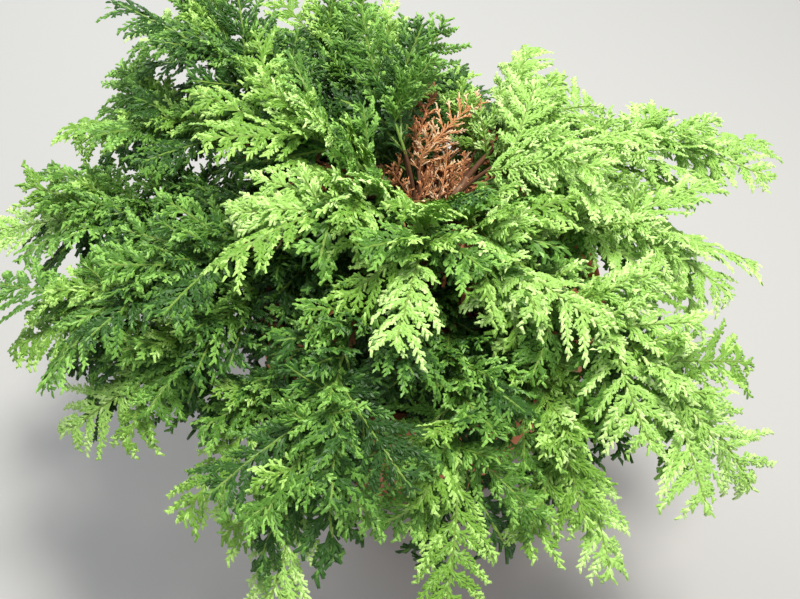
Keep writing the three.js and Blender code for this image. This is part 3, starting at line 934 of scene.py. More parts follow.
def ground_rings(pot, reach):
    """Points of the top of the potting mix, ring by ring from its middle."""
    points = [Vector((0, 0, GROUND_LEVEL))]
    for ring in range(1, MIX_RINGS + 1):
        for place in circle(reach * ring / MIX_RINGS, MIX_SEGMENTS):
            points.append(place + UP * ground_height(pot, place))
    return points


def crumb_shapes():
    """The crumbs' shapes, each a squashed uneven block."""
    corners = [(x, y, z) for x in (-1, 1) for y in (-1, 1) for z in (-1, 1)]
    faces = [(0, 1, 3, 2), (4, 6, 7, 5), (0, 4, 5, 1), (2, 3, 7, 6), (0, 2, 6, 4), (1, 5, 7, 3)]
    shapes = []
    for number, sides in enumerate(CRUMB_SHAPES):
        maker = random.Random(CRUMB_SEED + number)
        points = []
        for corner in corners:
            reach = [side * maker.uniform(*CRUMB_CORNERS) / 2 for side in sides]
            points.append([at * size for at, size in zip(corner, reach)])
        shapes.append(mesh_piece(f"crumb_{number}", points, faces))
    return shapes


class CONIFER_OT_make_mix(bpy.types.Operator):
    """Make the potting mix with its lumpy top, and the crumbs on it"""

    bl_idname = "conifer.make_mix"
    bl_label = "Potting mix"

    def execute(self, context):
        pot = context.scene.conifer_pot
        mix = context.scene.conifer_mix
        reach = inside_radius(pot, GROUND_LEVEL - GROUND_FALL) - WALL_GAP
        foot = pot.floor + WALL_GAP
        points = ground_rings(pot, reach)
        low = len(points)
        points += circle(inside_radius(pot, foot) - WALL_GAP - FOOT_GAP, MIX_SEGMENTS, foot)
        faces = disc_faces(MIX_RINGS + 1, MIX_SEGMENTS)
        faces.append(tuple(reversed(range(low, len(points)))))
        piece = mesh_piece("mix_body", points, faces)
        shade(piece, mix_material(mix))
        piece.data.set_sharp_from_angle(angle=MIX_SHARP)
        settle(piece, "potting_mix", "potting_mix")
        self.scatter_crumbs(pot, mix, reach - CRUMB_MARGIN)
        return {"FINISHED"}

    def scatter_crumbs(self, pot, mix, reach):
        """Crumbs over the mix, one piece for each shape of crumb."""
        tree = crumb_tree([plain_material(name, getattr(mix, name), 0.9) for name in CRUMB_TINTS])
        sizes = {"Density": mix.crumb_density, "Smallest": mix.crumb_smallest, "Largest": mix.crumb_largest}
        ground = (ground_rings(pot, reach), disc_faces(MIX_RINGS, MIX_SEGMENTS))
        for number, shape in enumerate(crumb_shapes(), 1):
            piece = mesh_piece(f"mix_crumbs_{number}", *ground)
            run_tree(piece, tree, {"Crumb": shape, "Seed": number, **sizes})
            settle(piece, "potting_mix", "potting_mix")
            bpy.data.objects.remove(shape)


# The wood


def trunk_centre(height):
    """The middle of the leaning trunk at a height above the ground."""
    share = height / TRUNK_HEIGHT
    return Vector((-TRUNK_LEAN * share * share, TRUNK_LEAN_BACK * share, GROUND_LEVEL + height))


def trunk_radius(height, turn):
    """The trunk's radius at a height and a turn round it, with its lobed root flare."""
    flare = math.exp(-height / FLARE_HEIGHT)
    lobes = 1 + LOBE_DEPTH * flare * math.cos(FLARE_LOBES * turn + LOBE_TURN)
    taper = lerp(TRUNK_BASE_RADIUS, TRUNK_TOP_RADIUS, height / TRUNK_HEIGHT)
    return (taper + FLARE_RADIUS * flare) * lobes


class Bough:
    """A bough's line, from its seat in the trunk over its arch to its furthest tip."""

    def __init__(self, kind, number, row):
        bearing, reach, seat, arch, tip, bend, bare = row
        reach, seat, arch, tip, bend, bare = (value * MM for value in (reach, seat, arch, tip, bend, bare))
        self.kind = kind
        self.name = f"{kind}_{number:02d}"
        self.bearing = math.radians(bearing)
        self.bare = bare
        outward = Vector((math.cos(self.bearing), math.sin(self.bearing), 0))
        sideways = Vector((-outward.y, outward.x, 0))
        handles = (
            (reach * FIRST_HANDLE[0], lerp(seat, arch, FIRST_HANDLE[1]), bend * FIRST_HANDLE[2]),
            (reach * SECOND_HANDLE[0], arch * SECOND_HANDLE[1], bend * SECOND_HANDLE[2]),
            (reach, tip, 0),
        )
        knots = [trunk_centre(seat) + outward * (trunk_radius(seat, self.bearing) - SEAT_DEPTH)]
        for out, rise, aside in handles:
            knots.append(outward * out + sideways * aside + UP * (GROUND_LEVEL + rise))
        knots = np.array(knots)
        at = np.linspace(0, 1, PATH_STEPS + 1)[:, None]
        weights = ((1 - at) ** 3, 3 * at * (1 - at) ** 2, 3 * at * at * (1 - at), at ** 3)
        self.line = sum(weight * knot for weight, knot in zip(weights, knots))
        steps = np.linalg.norm(np.diff(self.line, axis=0), axis=1)
        self.distances = np.concatenate(([0], np.cumsum(steps)))
        self.length = float(self.distances[-1])
        self.samples = np.array([self.point(index / PATH_SAMPLES) for index in range(PATH_SAMPLES + 1)])

    def point(self, share):
        """The place at a share of the line's length."""
        along = share * self.length
        return Vector([float(np.interp(along, self.distances, self.line[:, axis])) for axis in range(3)])

    def tangent(self, share):
        """The direction at a share of the line's length."""
        step = 1 / PATH_STEPS
        return (self.point(min(1, share + step)) - self.point(max(0, share - step))).normalized()

    def towards(self, bearing):
        """How far the bough points to a bearing: 1 straight to it, and 0 square to it."""
        return math.cos(self.bearing - bearing)


def all_boughs():
    """Every bough in the order of the table, which also gives each mass its seed."""
    return [Bough(kind, number, row) for kind, rows in BOUGHS.items() for number, row in enumerate(rows, 1)]


def limb_rings(centres, radius_at, sides, upright, relief, seed):
    """Rings of points round a line with furrowed bark, and where each lies in the limb's grain."""
    points = []
    grains = []
    shift = Vector((seed * GRAIN_SHIFT[0], seed * GRAIN_SHIFT[1], 0))
    travelled = 0
    for ring, centre in enumerate(centres):
        before = centres[max(ring - 1, 0)]
        after = centres[min(ring + 1, len(centres) - 1)]
        along = (after - before).normalized()
        across = Vector((1, 0, 0)) if upright else UP.cross(along).normalized()
        lift = Vector((0, 1, 0)) if upright else along.cross(across)
        travelled += (centre - before).length
        for side in range(sides):
            turn = 2 * math.pi * side / sides
            radius = radius_at(ring / (len(centres) - 1), turn)
            around = Vector((math.cos(turn), math.sin(turn), 0)) * radius
            grain = Vector((around.x, around.y, travelled * GRAIN_ALONG)) + shift
            radius *= 1 + relief * (rough(grain, *FURROWS) - FURROW_LEVEL)
            points.append(centre + across * (radius * math.cos(turn)) + lift * (radius * math.sin(turn)))
            grains.append(grain)
    return points, grains


def wood_piece(name, limbs, material):
    """One mesh of several limbs, each a list of rings, with the grain stored for its bark."""
    points = []
    grains = []
    faces = []
    for limb_points, limb_grains, sides in limbs:
        faces += tube_faces(len(limb_points) // sides, sides, len(points))
        points += limb_points
        grains += limb_grains
    piece = mesh_piece(name, points, faces)
    add_values(piece.data, "grain", "FLOAT_VECTOR", grains)
    shade(piece, material)
    return piece


def trunk_limb(relief):
    """The trunk from its flat cut at the ground, rounded over at its top."""
    shares = [(ring / (TRUNK_RINGS - 1)) ** TRUNK_RING_POWER for ring in range(TRUNK_RINGS)]
    heights = [TRUNK_HEIGHT * share for share in shares]
    centres = [trunk_centre(height) + UP * TRUNK_CUT for height in heights]

    def radius_at(share, turn):
        height = heights[round(share * (TRUNK_RINGS - 1))]
        crown = max(0, (height - TRUNK_HEIGHT + TRUNK_TOP_ROUND) / TRUNK_TOP_ROUND)
        return trunk_radius(height, turn) * math.sqrt(max(TRUNK_TOP_FLAT, 1 - crown * crown))

    points, grains = limb_rings(centres, radius_at, TRUNK_SIDES, True, relief, TRUNK_SEED)
    for point in points[:TRUNK_SIDES]:
        point.z = GROUND_LEVEL + TRUNK_CUT
    return points, grains, TRUNK_SIDES


def bough_limb(bough, relief, seed):
    """A bough's wood, with a collar where it leaves the trunk."""
    size = 1 if bough.kind == "outer" else INNER_BOUGH_SHARE
    shares = [bough.bare / bough.length * ring / (BOUGH_RINGS - 1) for ring in range(BOUGH_RINGS)]
    centres = [bough.point(share) for share in shares]

    def radius_at(share, turn):
        collar = 1 + COLLAR * math.exp(-share * bough.bare / COLLAR_LENGTH)
        return size * lerp(BOUGH_BASE_RADIUS, BOUGH_TIP_RADIUS, share) * collar

    points, grains = limb_rings(centres, radius_at, BOUGH_SIDES, False, relief, seed)
    return points, grains, BOUGH_SIDES


class CONIFER_OT_make_wood(bpy.types.Operator):
    """Make the trunk and boughs with the relief of their bark"""

    bl_idname = "conifer.make_wood"
    bl_label = "Trunk and boughs"

    def execute(self, context):
        wood = context.scene.conifer_wood
        material = bark_material(wood)
        settle(wood_piece("bark_trunk", [trunk_limb(wood.trunk_relief)], material), "bark", "trunk")
        boughs = all_boughs()
        for kinds in (("outer",), ("inner", "dead"), ("back",)):
            chosen = [bough for bough in boughs if bough.kind in kinds]
            limbs = [bough_limb(bough, wood.bough_relief, seed) for seed, bough in enumerate(chosen)]
            piece = wood_piece(f"bark_boughs_{kinds[0]}", limbs, material)
            settle(piece, "bark", *[f"bough_{bough.name}" for bough in chosen])
        return {"FINISHED"}


# The foliage


class Growth:
    """The scale leaves and twigs of one mass as they grow: a row for each leaf and each twig's point."""

    def __init__(self):
        self.leaves = []
        self.twigs = []
        self.edges = []

    def leaf(self, place, along, face, size, tint):
        """One scale leaf, from its foot along its length."""
        self.leaves.append((place, along, face, size, TINTS.index(tint)))

    def twig(self, points, start_radius, end_radius, tint):
        """A twig through points, tapering from one radius to another."""
        for index, point in enumerate(points):
            if index:
                self.edges.append((len(self.twigs) - 1, len(self.twigs)))
            radius = lerp(start_radius, end_radius, index / (len(points) - 1))
            self.twigs.append((point, radius, TINTS.index(tint)))

    def clad(self, line_at, length, face, tint, tip_tint, leaf_step, leaf_size, maker):
        """Scale leaves in a row along a line, each a little over the next, and the last one lighter."""
        count = max(1, round(length / leaf_step))
        for index in range(count):
            here = line_at(index / count)
            along = line_at((index + 1) / count) - here
            lean_to = Quaternion(along, maker.uniform(-LEAF_ROLL, LEAF_ROLL)) @ face
            last = index == count - 1
            reach = length / count * (1 if last else LEAF_OVERLAP)
            self.leaf(here, along, lean_to, (reach, leaf_size, leaf_size), tip_tint if last else tint)

    def branchlet(self, start, forward, face, hand, length, size, tint, maker):
        """A last branchlet: one finger of scale leaves, leaning forward from its line. Many of a dead
        spray's have dropped."""
        if tint in DEAD_TINTS and maker.random() > DEAD_KEPT:
            return forward
        beside = face.cross(forward).normalized()
        lean = BRANCHLET_ANGLE + maker.uniform(-BRANCHLET_ANGLE_SPREAD, BRANCHLET_ANGLE_SPREAD)
        heading = forward * math.cos(lean) + beside * (hand * math.sin(lean))
        heading = (heading - face * maker.uniform(*BRANCHLET_DROOP)).normalized()
        lean_to = Quaternion(heading, maker.uniform(-BRANCHLET_ROLL, BRANCHLET_ROLL)) @ face
        self.leaf(start, heading, lean_to, (length * maker.uniform(*BRANCHLET_VARIETY), size, size), tint)
        return heading


class Spray:
    """A flat spray at its station: its root, the way it heads, its face and its sizes."""

    def __init__(self, bough, station, shorter, roll, settings, dead):
        along = bough.tangent(station.share)
        side = UP.cross(along).normalized()
        lift = along.cross(side)
        turn = station.turn
        self.heading = (along * math.cos(turn) + side * math.sin(turn) + lift * station.tilt).normalized()
        face = (lift - self.heading * lift.dot(self.heading)).normalized()
        self.face = Quaternion(self.heading, roll) @ face
        self.side = self.face.cross(self.heading).normalized()
        self.root = bough.point(station.share)
        self.length = station.length * shorter
        width = settings.spray_half_width * station.length / settings.spray_length
        self.half_width = width * shorter * (DEAD_WIDTH if dead else 1)
        droop = min(1, NOD_BY_LENGTH * station.length / settings.spray_length)
        self.nod = settings.spray_nod * shorter * droop
        self.bend = 0
        self.tips = LIES[station.lie].tips
        self.leaf_size = DEAD_LEAF_SIZE if dead else LIES[station.lie].leaf_size

    def point(self, share):
        """The place at a share of the rib, which nods and bends a little to one side."""
        away = self.side * self.bend - self.face * self.nod
        return self.root + self.heading * (self.length * share) + away * (share * share)

    def reach(self, share):
        """How long a side shoot is at a share of the rib: longest near the middle, and so short near
        the tip that the spray ends in a point."""
        fullness = lerp(LEAST_FULLNESS, 1, math.sin(math.pi * lerp(*FULLNESS_SWEEP, share)))
        full = self.half_width / math.sin(TOOTH_ANGLE) * fullness
        return min(full, (1 - share) * self.length * POINT_SLOPE + POINT_WIDTH)

    def outline(self):
        """The points that have to keep to the mass's space."""
        points = [self.point(share) for share in RIB_SHARES]
        for share in TOOTH_SHARES:
            reach = self.reach(share)
            for hand in (1, -1):
                point = self.point(share) + self.heading * (reach * math.cos(TOOTH_ANGLE))
                point += self.side * (hand * reach * math.sin(TOOTH_ANGLE))
                points.append(point - self.face * (self.nod * share + reach * TOOTH_DROOP))
        return np.array(points)


def row_share(number, count, row):
    """The share of a line at which one of a row stands."""
    before, beyond = row
    return (number + before) / (count + beyond)


def covers_the_hollow(points):
    """Whether any point is in the opening that the crown leaves over its dead boughs."""
    rise = points[:, 2] - HOLLOW_FOOT.z
    away = np.hypot(points[:, 0] - HOLLOW_FOOT.x, points[:, 1] - HOLLOW_FOOT.y + rise * HOLLOW_LEAN)
    return bool(((rise > 0) & (away < HOLLOW_RADIUS + rise * HOLLOW_FLARE)).any())


def keeps_to_its_space(points, own, samples, pot):
    """Whether points are nearer to their own bough than to any other, give or take a little, and
    clear of the pot. Height counts more, so that each bough holds a flat layer."""
    flat = np.hypot(points[:, 0], points[:, 1])
    floor = np.where(flat < pot.rim_radius + POT_MARGIN, pot.height + POT_MARGIN, 0)
    if (points[:, 2] < floor).any():
        return False
    apart = samples[:, :, None, :] - points[None, None, :, :]
    apart[..., 2] *= LAYER_FLATNESS
    nearest = np.sqrt((apart ** 2).sum(axis=3).min(axis=1))
    mine = nearest[own] - SPACE_OVERREACH
    return bool((np.delete(nearest, own, axis=0) > mine).all())


def grow_side_shoot(growth, spray, palette, share, hand, maker):
    """A side shoot of a spray: a short line that nods and sweeps forward, with branchlets in turn."""
    tint, tip_tint = PALETTES[palette]
    leaf = spray.leaf_size
    reach = spray.reach(share) * maker.uniform(*SHOOT_VARIETY)
    root = spray.point(share)
    angle = TOOTH_ANGLE + maker.uniform(-SHOOT_ANGLE_SPREAD, SHOOT_ANGLE_SPREAD)
    outward = spray.heading * math.cos(angle) + spray.side * (hand * math.sin(angle))
    drop = spray.nod * share + reach * (TOOTH_DROOP + maker.uniform(*SHOOT_DROOP_SPREAD))
    sweep = (spray.heading - spray.side * hand) * (reach * SHOOT_SWEEP)
    face = Quaternion(outward, maker.uniform(-SHOOT_ROLL, SHOOT_ROLL)) @ spray.face

    def line_at(part):
        return root + outward * (reach * part) + (sweep - spray.face * drop) * (part * part)

    # A lit shoot takes its lighter tip tint on its outer branchlets: paler new growth and painted highlight
    lit = maker.random() < spray.tips + TIPS_BY_SHARE * share
    growth.clad(line_at, reach, face, tint, tip_tint, SHOOT_LEAF_STEP, SHOOT_LEAF * leaf, maker)
    count = int(reach / (BRANCHLET_SPACING * leaf))
    turn_hand = hand
    for number in range(count):
        part = row_share(number, count, BRANCHLET_ROW)
        turn_hand = -turn_hand
        start = line_at(part)
        forward = (line_at(min(1, part + SHOOT_AHEAD)) - line_at(part - SHOOT_AHEAD)).normalized()
        length = lerp(*BRANCHLET_LENGTHS, part) * leaf
        chosen = tip_tint if lit and part > maker.uniform(*TIPS_FROM) else tint
        heading = growth.branchlet(start, forward, face, turn_hand, length, leaf, chosen, maker)
        if palette in ("dead", "dry"):
            continue
        fork_hand = turn_hand
        for until, place, size in FORKS:
            if part < until:
                fork = start + heading * (length * place)
                sizes = (length * size, FORK_LEAF * leaf)
                growth.branchlet(fork, heading, face, fork_hand, *sizes, chosen, maker)
            fork_hand = -fork_hand


def grow_spray(growth, spray, palette, settings, maker):
    """One flat spray: a nodding rib, with a side shoot to the left and right in turn."""
    tint, tip_tint = PALETTES[palette]
    leaf = spray.leaf_size
    spray.bend = spray.length * maker.uniform(-SPRAY_BEND, SPRAY_BEND)
    spray.nod *= maker.uniform(*NOD_SPREAD)
    count = max(4, round(spray.length / (settings.shoot_spacing * leaf)))
    hand = maker.choice((1, -1))
    for number in range(count):
        hand = -hand
        grow_side_shoot(growth, spray, palette, row_share(number, count, SHOOT_ROW), hand, maker)
    count = round(spray.length / (RIB_BRANCHLET_SPACING * leaf))
    for number in range(count):
        share = row_share(number, count, RIB_ROW)
        hand = -hand
        start = spray.point(share)
        forward = (spray.point(share + RIB_AHEAD) - start).normalized()
        chosen = tip_tint if maker.random() < spray.tips * RIB_TIPS else tint
        growth.branchlet(start, forward, spray.face, hand, RIB_BRANCHLET_LENGTH * leaf, leaf, chosen, maker)
    rib_tint = tint if palette in ("dead", "dry") else "shoot"
    rib_leaf = RIB_LEAF * leaf
    growth.clad(spray.point, spray.length, spray.face, rib_tint, tip_tint, RIB_LEAF_STEP, rib_leaf, maker)
    line = [spray.point(step / RIB_STEPS) for step in range(RIB_STEPS + 1)]
    growth.twig(line, *RIB_RADII, rib_tint)


def stations_of(bough, start, end, size, settings, maker):
    """Where each spray leaves a stem, and how it lies: the tip's first, then left and right in turn,
    with some raised over the stem and some under it."""
    raised = {"dead": DEAD_TIP_TILT, "inner": INNER_TIP_TILT}.get(bough.kind, 0)
    stations = [Station(end, 0, raised, TIP_SPRAY_LENGTH * size, "tip")]
    if bough.kind == "outer" and math.cos(bough.bearing) < FAN_COSINE:
        stations += [Station(end, turn, 0, LEFT_FAN_LENGTH, "side") for turn in LEFT_FAN]
    left = 1 - LEFT_CLOSER * max(0, bough.towards(LEFT))
    closer = {"dead": DEAD_SPACING, "back": BACK_SPACING}.get(bough.kind, left)
    count = int((end - start) * bough.length / (settings.station_spacing * size * closer))
    hands = dict.fromkeys(LIES, 1)
    for number in reversed(range(count)):
        place = row_share(number, count, STATION_ROW)
        if bough.kind == "dead" and place < DEAD_BARE:
            continue
        name = LIE_RHYTHM[number % len(LIE_RHYTHM)]
        lie = LIES[name]
        hands[name] = -hands[name]
        spread = TUFT_TURN_SPREAD if name == "tuft" else TURN_SPREAD
        turn = (lerp(*lie.turns, place) + spread * (maker.random() - 0.5)) * hands[name]
        tilt = lerp(*lie.tilts, place) + TILT_SPREAD * (maker.random() - 0.5)
        if name != "under":
            tilt += REAR_LEFT_LIFT * max(0, bough.towards(REAR_LEFT))
        length = settings.spray_length * size * lerp(*lie.lengths, place) * maker.uniform(*LENGTH_SPREAD)
        length *= lerp(1, SLIM.get(bough.name, 1), place)
        stations.append(Station(lerp(start, end, place), turn, tilt, length, name))
    return stations


def palette_for(bough, share, lie, maker):
    """The palette of a spray: lighter further out, as fresher growth and as less painted shade, and
    lighter on top and on the plant's right as painted light, darker under its stem and at the rear
    left as painted shade.
    """
    if bough.kind == "dead":
        return "dead" if maker.random() < DEAD_SHARE else "dry"
    rear_left = max(0, bough.towards(REAR_LEFT))
    right = math.cos(bough.bearing)
    # Painted light and shade: lighter on top, on the right and on inner boughs, darker under stems and at
    # the rear left
    light = LIGHT_BASE + LIGHT_BY_SHARE[0] * share + LIGHT_BY_SHARE[1] * share ** 3 + LIES[lie].light
    light += PAINTED_LIGHT_ON_RIGHT * right + LIGHT_BY_SIDES * math.cos(2 * bough.bearing)
    light += PAINTED_LIGHT_AT_REAR_LEFT * rear_left + maker.uniform(-LIGHT_SPREAD, LIGHT_SPREAD)
    if bough.kind == "inner":
        light += INNER_LIGHT + INNER_PAINTED_LIGHT_ON_RIGHT * right + INNER_PAINTED_LIGHT_AT_REAR_LEFT * rear_left
        light += INNER_TIP_LIGHT if lie == "tip" else 0
    if lie == "under" and share < UNDER_DEAD_UNTIL and maker.random() < UNDER_DEAD:
        return "dead"
    if lie == "tuft" and share < TUFT_DRY_UNTIL and maker.random() < TUFT_DRY:
        return "dry"
    if share < DRY_UNTIL and bough.towards(DRY_BEARING) > DRY_COSINE and maker.random() < DRY_SHARE:
        return "dry"
    return next((palette for palette, least in LEAST_LIGHT.items() if light > least), "bluish")


def grow_dead_shoots(growth, bough, settings, maker):
    """The short dead shoots that are left on a bough's wood inside the crown."""
    first, last = (share * bough.bare / bough.length for share in INSIDE_SHARES)
    count = int((last - first) * bough.length / INSIDE_SPACING)
    for number in range(count):
        share = lerp(first, last, (number + maker.random()) / count)
        turn = maker.uniform(*INSIDE_TURNS) * (1 if number % 2 else -1)
        station = Station(share, turn, maker.uniform(*INSIDE_LIFT), maker.uniform(*INSIDE_LENGTHS), "short")
        spray = Spray(bough, station, 1, maker.uniform(-INSIDE_ROLL, INSIDE_ROLL), settings, True)
        spray.tips = INSIDE_TIPS
        palette = "dead" if maker.random() < INSIDE_DEAD else "dry"
        grow_spray(growth, spray, palette, settings, maker)


def grow_stem(growth, bough, start, end, wood, maker):
    """The stem that carries on from a bough's end: old wood, then a young shoot, clad if it is alive."""
    alive = bough.kind != "dead"
    young_from = lerp(start, end, YOUNG_FROM)
    overlap = STEM_OVERLAP / bough.length
    steps = [step / STEM_STEPS for step in range(STEM_STEPS + 1)]
    old = [bough.point(lerp(start - overlap, young_from, step)) for step in steps]
    young = [bough.point(lerp(young_from - overlap, end, step)) for step in steps]
    growth.twig(old, BOUGH_TIP_RADIUS * wood, YOUNG_RADII[0], "twig")
    growth.twig(young, *YOUNG_RADII, "shoot" if alive else "twig")
    if alive:

        def stem_at(part):
            return bough.point(lerp(young_from, end, part)) + UP * STEM_LEAF_LIFT

        length = (end - young_from) * bough.length
        growth.clad(stem_at, length, UP, "shoot", "fresh", RIB_LEAF_STEP, STEM_LEAF, maker)


def grow_mass(bough, own, samples, settings, pot):
    """All the leaves and twigs of one mass, on the stem that carries on from its bough's end."""
    growth = Growth()
    maker = random.Random(FIRST_SEED + own)
    dead = bough.kind == "dead"
    size = INNER_SPRAY_SHARE if bough.kind in ("inner", "dead") else 1
    start = FOLIAGE_START * bough.bare / bough.length
    end = 1 - TIP_SPRAY_LENGTH * size * TIP_SPRAY_SHOWS / bough.length
    for station in stations_of(bough, start, end, size, settings, maker):
        roll = maker.uniform(-ROLL_SPREAD, ROLL_SPREAD)
        palette = palette_for(bough, (station.share - start) / (end - start), station.lie, maker)
        seed = maker.randrange(SEEDS)
        for shorter in SHORTER_SPRAYS:
            spray = Spray(bough, station, shorter, roll, settings, dead)
            outline = spray.outline()
            clear = dead or not covers_the_hollow(outline)
            if clear and keeps_to_its_space(outline, own, samples, pot):
                grow_spray(growth, spray, palette, settings, random.Random(seed))
                break
    if not dead:
        grow_dead_shoots(growth, bough, settings, maker)
    grow_stem(growth, bough, start, end, size if bough.kind == "outer" else INNER_BOUGH_SHARE, maker)
    return growth


def unit_leaf():
    """Scale leaves in a finger one unit long, tapering to a blunt tip, flat below and ridged above."""
    top = len(LEAF_OUTLINE)
    points = [(along, beside, LEAF_FOOT) for along, beside in LEAF_OUTLINE]
    faces = [tuple(range(top)), *[((number + 1) % top, number, top) for number in range(top)]]
    return mesh_piece("scale_leaf", [*points, LEAF_RIDGE], faces)


class CONIFER_OT_grow_foliage(bpy.types.Operator):
    """Grow every mass of foliage: its twigs, its sprays and their scale leaves"""

    bl_idname = "conifer.grow_foliage"
    bl_label = "Foliage"

    def execute(self, context):
        settings = context.scene.conifer_foliage
        materials = tint_materials(settings)
        leaves = leaf_tree(materials)
        sizes = {
            "Leaf": unit_leaf(),
            "Leaf width": settings.leaf_width,
            "Leaf thickness": settings.leaf_thickness,
        }
        boughs = all_boughs()
        samples = np.array([bough.samples for bough in boughs])
        grown = {kind: [] for kind in SLOTS}
        for own, bough in enumerate(boughs):
            growth = grow_mass(bough, own, samples, settings, context.scene.conifer_pot)
            piece = bare_points(f"leaves_{bough.name}", growth.leaves, LEAF_VALUES)
            run_tree(piece, leaves, sizes)
            settle(piece, SLOTS[bough.kind], f"foliage_{bough.name}")
            grown[bough.kind].append((bough, growth))
        bpy.data.objects.remove(sizes["Leaf"])
        twigs = twig_tree(materials)
        for kind, masses in grown.items():
            self.join_twigs(kind, masses, twigs)
        return {"FINISHED"}

    def join_twigs(self, kind, masses, tree):
        """The twigs of all masses of a kind as one piece."""
        rows = []
        edges = []
        for _, growth in masses:
            first = len(rows)
            rows += growth.twigs
            edges += [(first + start, first + end) for start, end in growth.edges]
        piece = bare_points(f"twigs_{kind}", rows, TWIG_VALUES, edges)
        run_tree(piece, tree, {})
        settle(piece, SLOTS[kind], *[f"foliage_{bough.name}" for bough, _ in masses])


# The stage


def place_looking(name, data, place, direction):
    """A light or a camera at its place, looking along a direction."""
    holder = bpy.data.objects.new(name, data)
    holder.location = place
    holder.rotation_euler = direction.to_track_quat("-Z", "Y").to_euler()
    bpy.context.scene.collection.objects.link(holder)
    return holder


def add_light(name, power, place, size, share, tint):
    """A square soft light that looks at the middle of the crown."""
    light = bpy.data.lights.new(name, "AREA")
    light.size = size
    light.energy = power * share
    light.color = tint
    place_looking(name, light, place, LIGHT_TARGET - Vector(place))


class CONIFER_OT_set_stage(bpy.types.Operator):
    """Set the pale floor, the soft lights and the camera"""

    bl_idname = "conifer.set_stage"
    bl_label = "Stage"

    def execute(self, context):
        settings = context.scene.conifer_stage
        reach = settings.floor_size / 2
        corners = [(x * reach, y * reach, 0) for x, y in ((-1, -1), (1, -1), (1, 1), (-1, 1))]
        floor = mesh_piece("floor", corners, [(0, 1, 2, 3)])
        floor.data.materials.append(plain_material("pale_floor", settings.floor_colour, 0.8))
        world = bpy.data.worlds.new("soft_sky")
        world.use_nodes = True
        sky = world.node_tree.nodes["Background"]
        feed(world.node_tree, sky, {"Color": SKY_TINT, "Strength": settings.sky_strength})
        context.scene.world = world
        context.scene.view_settings.view_transform = "Standard"
        for name, light in LIGHTS.items():
            add_light(name, settings.key_power, *light)
        camera = bpy.data.cameras.new("camera")
        camera.lens = CAMERA_LENS
        camera.sensor_width = SENSOR_WIDTH
        away = Vector((0, -math.cos(CAMERA_ELEVATION), math.sin(CAMERA_ELEVATION)))
        place = CAMERA_TARGET + away * CAMERA_DISTANCE
        context.scene.camera = place_looking("camera", camera, place, -away)
        return {"FINISHED"}


# What a user may change, and the add-on


def length_property(name, description, default):
    """A length that a user may change, in metres."""
    return bpy.props.FloatProperty(name=name, description=description, default=default, unit="LENGTH")


def share_property(name, description, default):
    """A share of a whole that a user may change."""
    return bpy.props.FloatProperty(name=name, description=description, default=default, subtype="FACTOR")


def tint_property(name, description, *screen):
    """A colour that a user may change, given as 8-bit screen values."""
    return bpy.props.FloatVectorProperty(
        name=name, description=description, default=colour(*screen), subtype="COLOR")


class ConiferPot(bpy.types.PropertyGroup):
    """Sizes and colours of the clay pot"""

    rim_radius: length_property("Rim radius", "From the axis to the rim's outside", POT_TOP.x)
    height: length_property("Height", "From the pot's underside to its rim", POT_TOP.z)
    base_radius: length_property("Base radius", "Radius of the pot's foot", 64 * MM)
    wall: length_property("Wall", "Thickness of the pot's wall", 7 * MM)
    floor: length_property("Floor", "Thickness of the pot's floor", 9 * MM)
    band_height: length_property("Band height", "Height of the band round the rim", 36 * MM)
    clay_deep: tint_property("Deep clay", "The clay's deeper colour", 176, 98, 66)
    clay_pale: tint_property("Pale clay", "The clay's paler colour", 204, 128, 90)
    bloom: tint_property("Bloom", "Mineral bloom on the clay", 222, 204, 186)


class ConiferMix(bpy.types.PropertyGroup):
    """Colours of the potting mix and sizes of the crumbs on it"""

    crumb_density: bpy.props.FloatProperty(
        name="Crumb density", description="Crumbs of each shape on a square metre", default=9000.0)
    crumb_smallest: length_property("Smallest crumb", "Length of the smallest crumb", 2.5 * MM)
    crumb_largest: length_property("Largest crumb", "Length of the largest crumb", 8 * MM)
    peat_dark: tint_property("Dark peat", "The mix's darker colour", 42, 30, 22)
    peat_brown: tint_property("Brown peat", "The mix's browner colour", 78, 56, 40)
    crumb_dark: tint_property("Dark crumbs", "The wettest crumbs", 64, 44, 32)
    crumb_brown: tint_property("Brown crumbs", "The moist crumbs", 106, 72, 48)
    crumb_pale: tint_property("Pale crumbs", "The dry crumbs", 150, 116, 82)


class ConiferWood(bpy.types.PropertyGroup):
    """Relief and colours of the bark"""

    trunk_relief: share_property("Trunk relief", "Depth of its furrows, as a share of its radius", 0.085)
    bough_relief: share_property("Bough relief", "Depth of their furrows, as a share of their radius", 0.12)
    bark_deep: tint_property("Deep bark", "Bark in the furrows", 88, 60, 44)
    bark_pale: tint_property("Pale bark", "Bark on the ridges", 146, 110, 84)
    bark_red: tint_property("Red bark", "Young red-brown bark", 112, 66, 44)


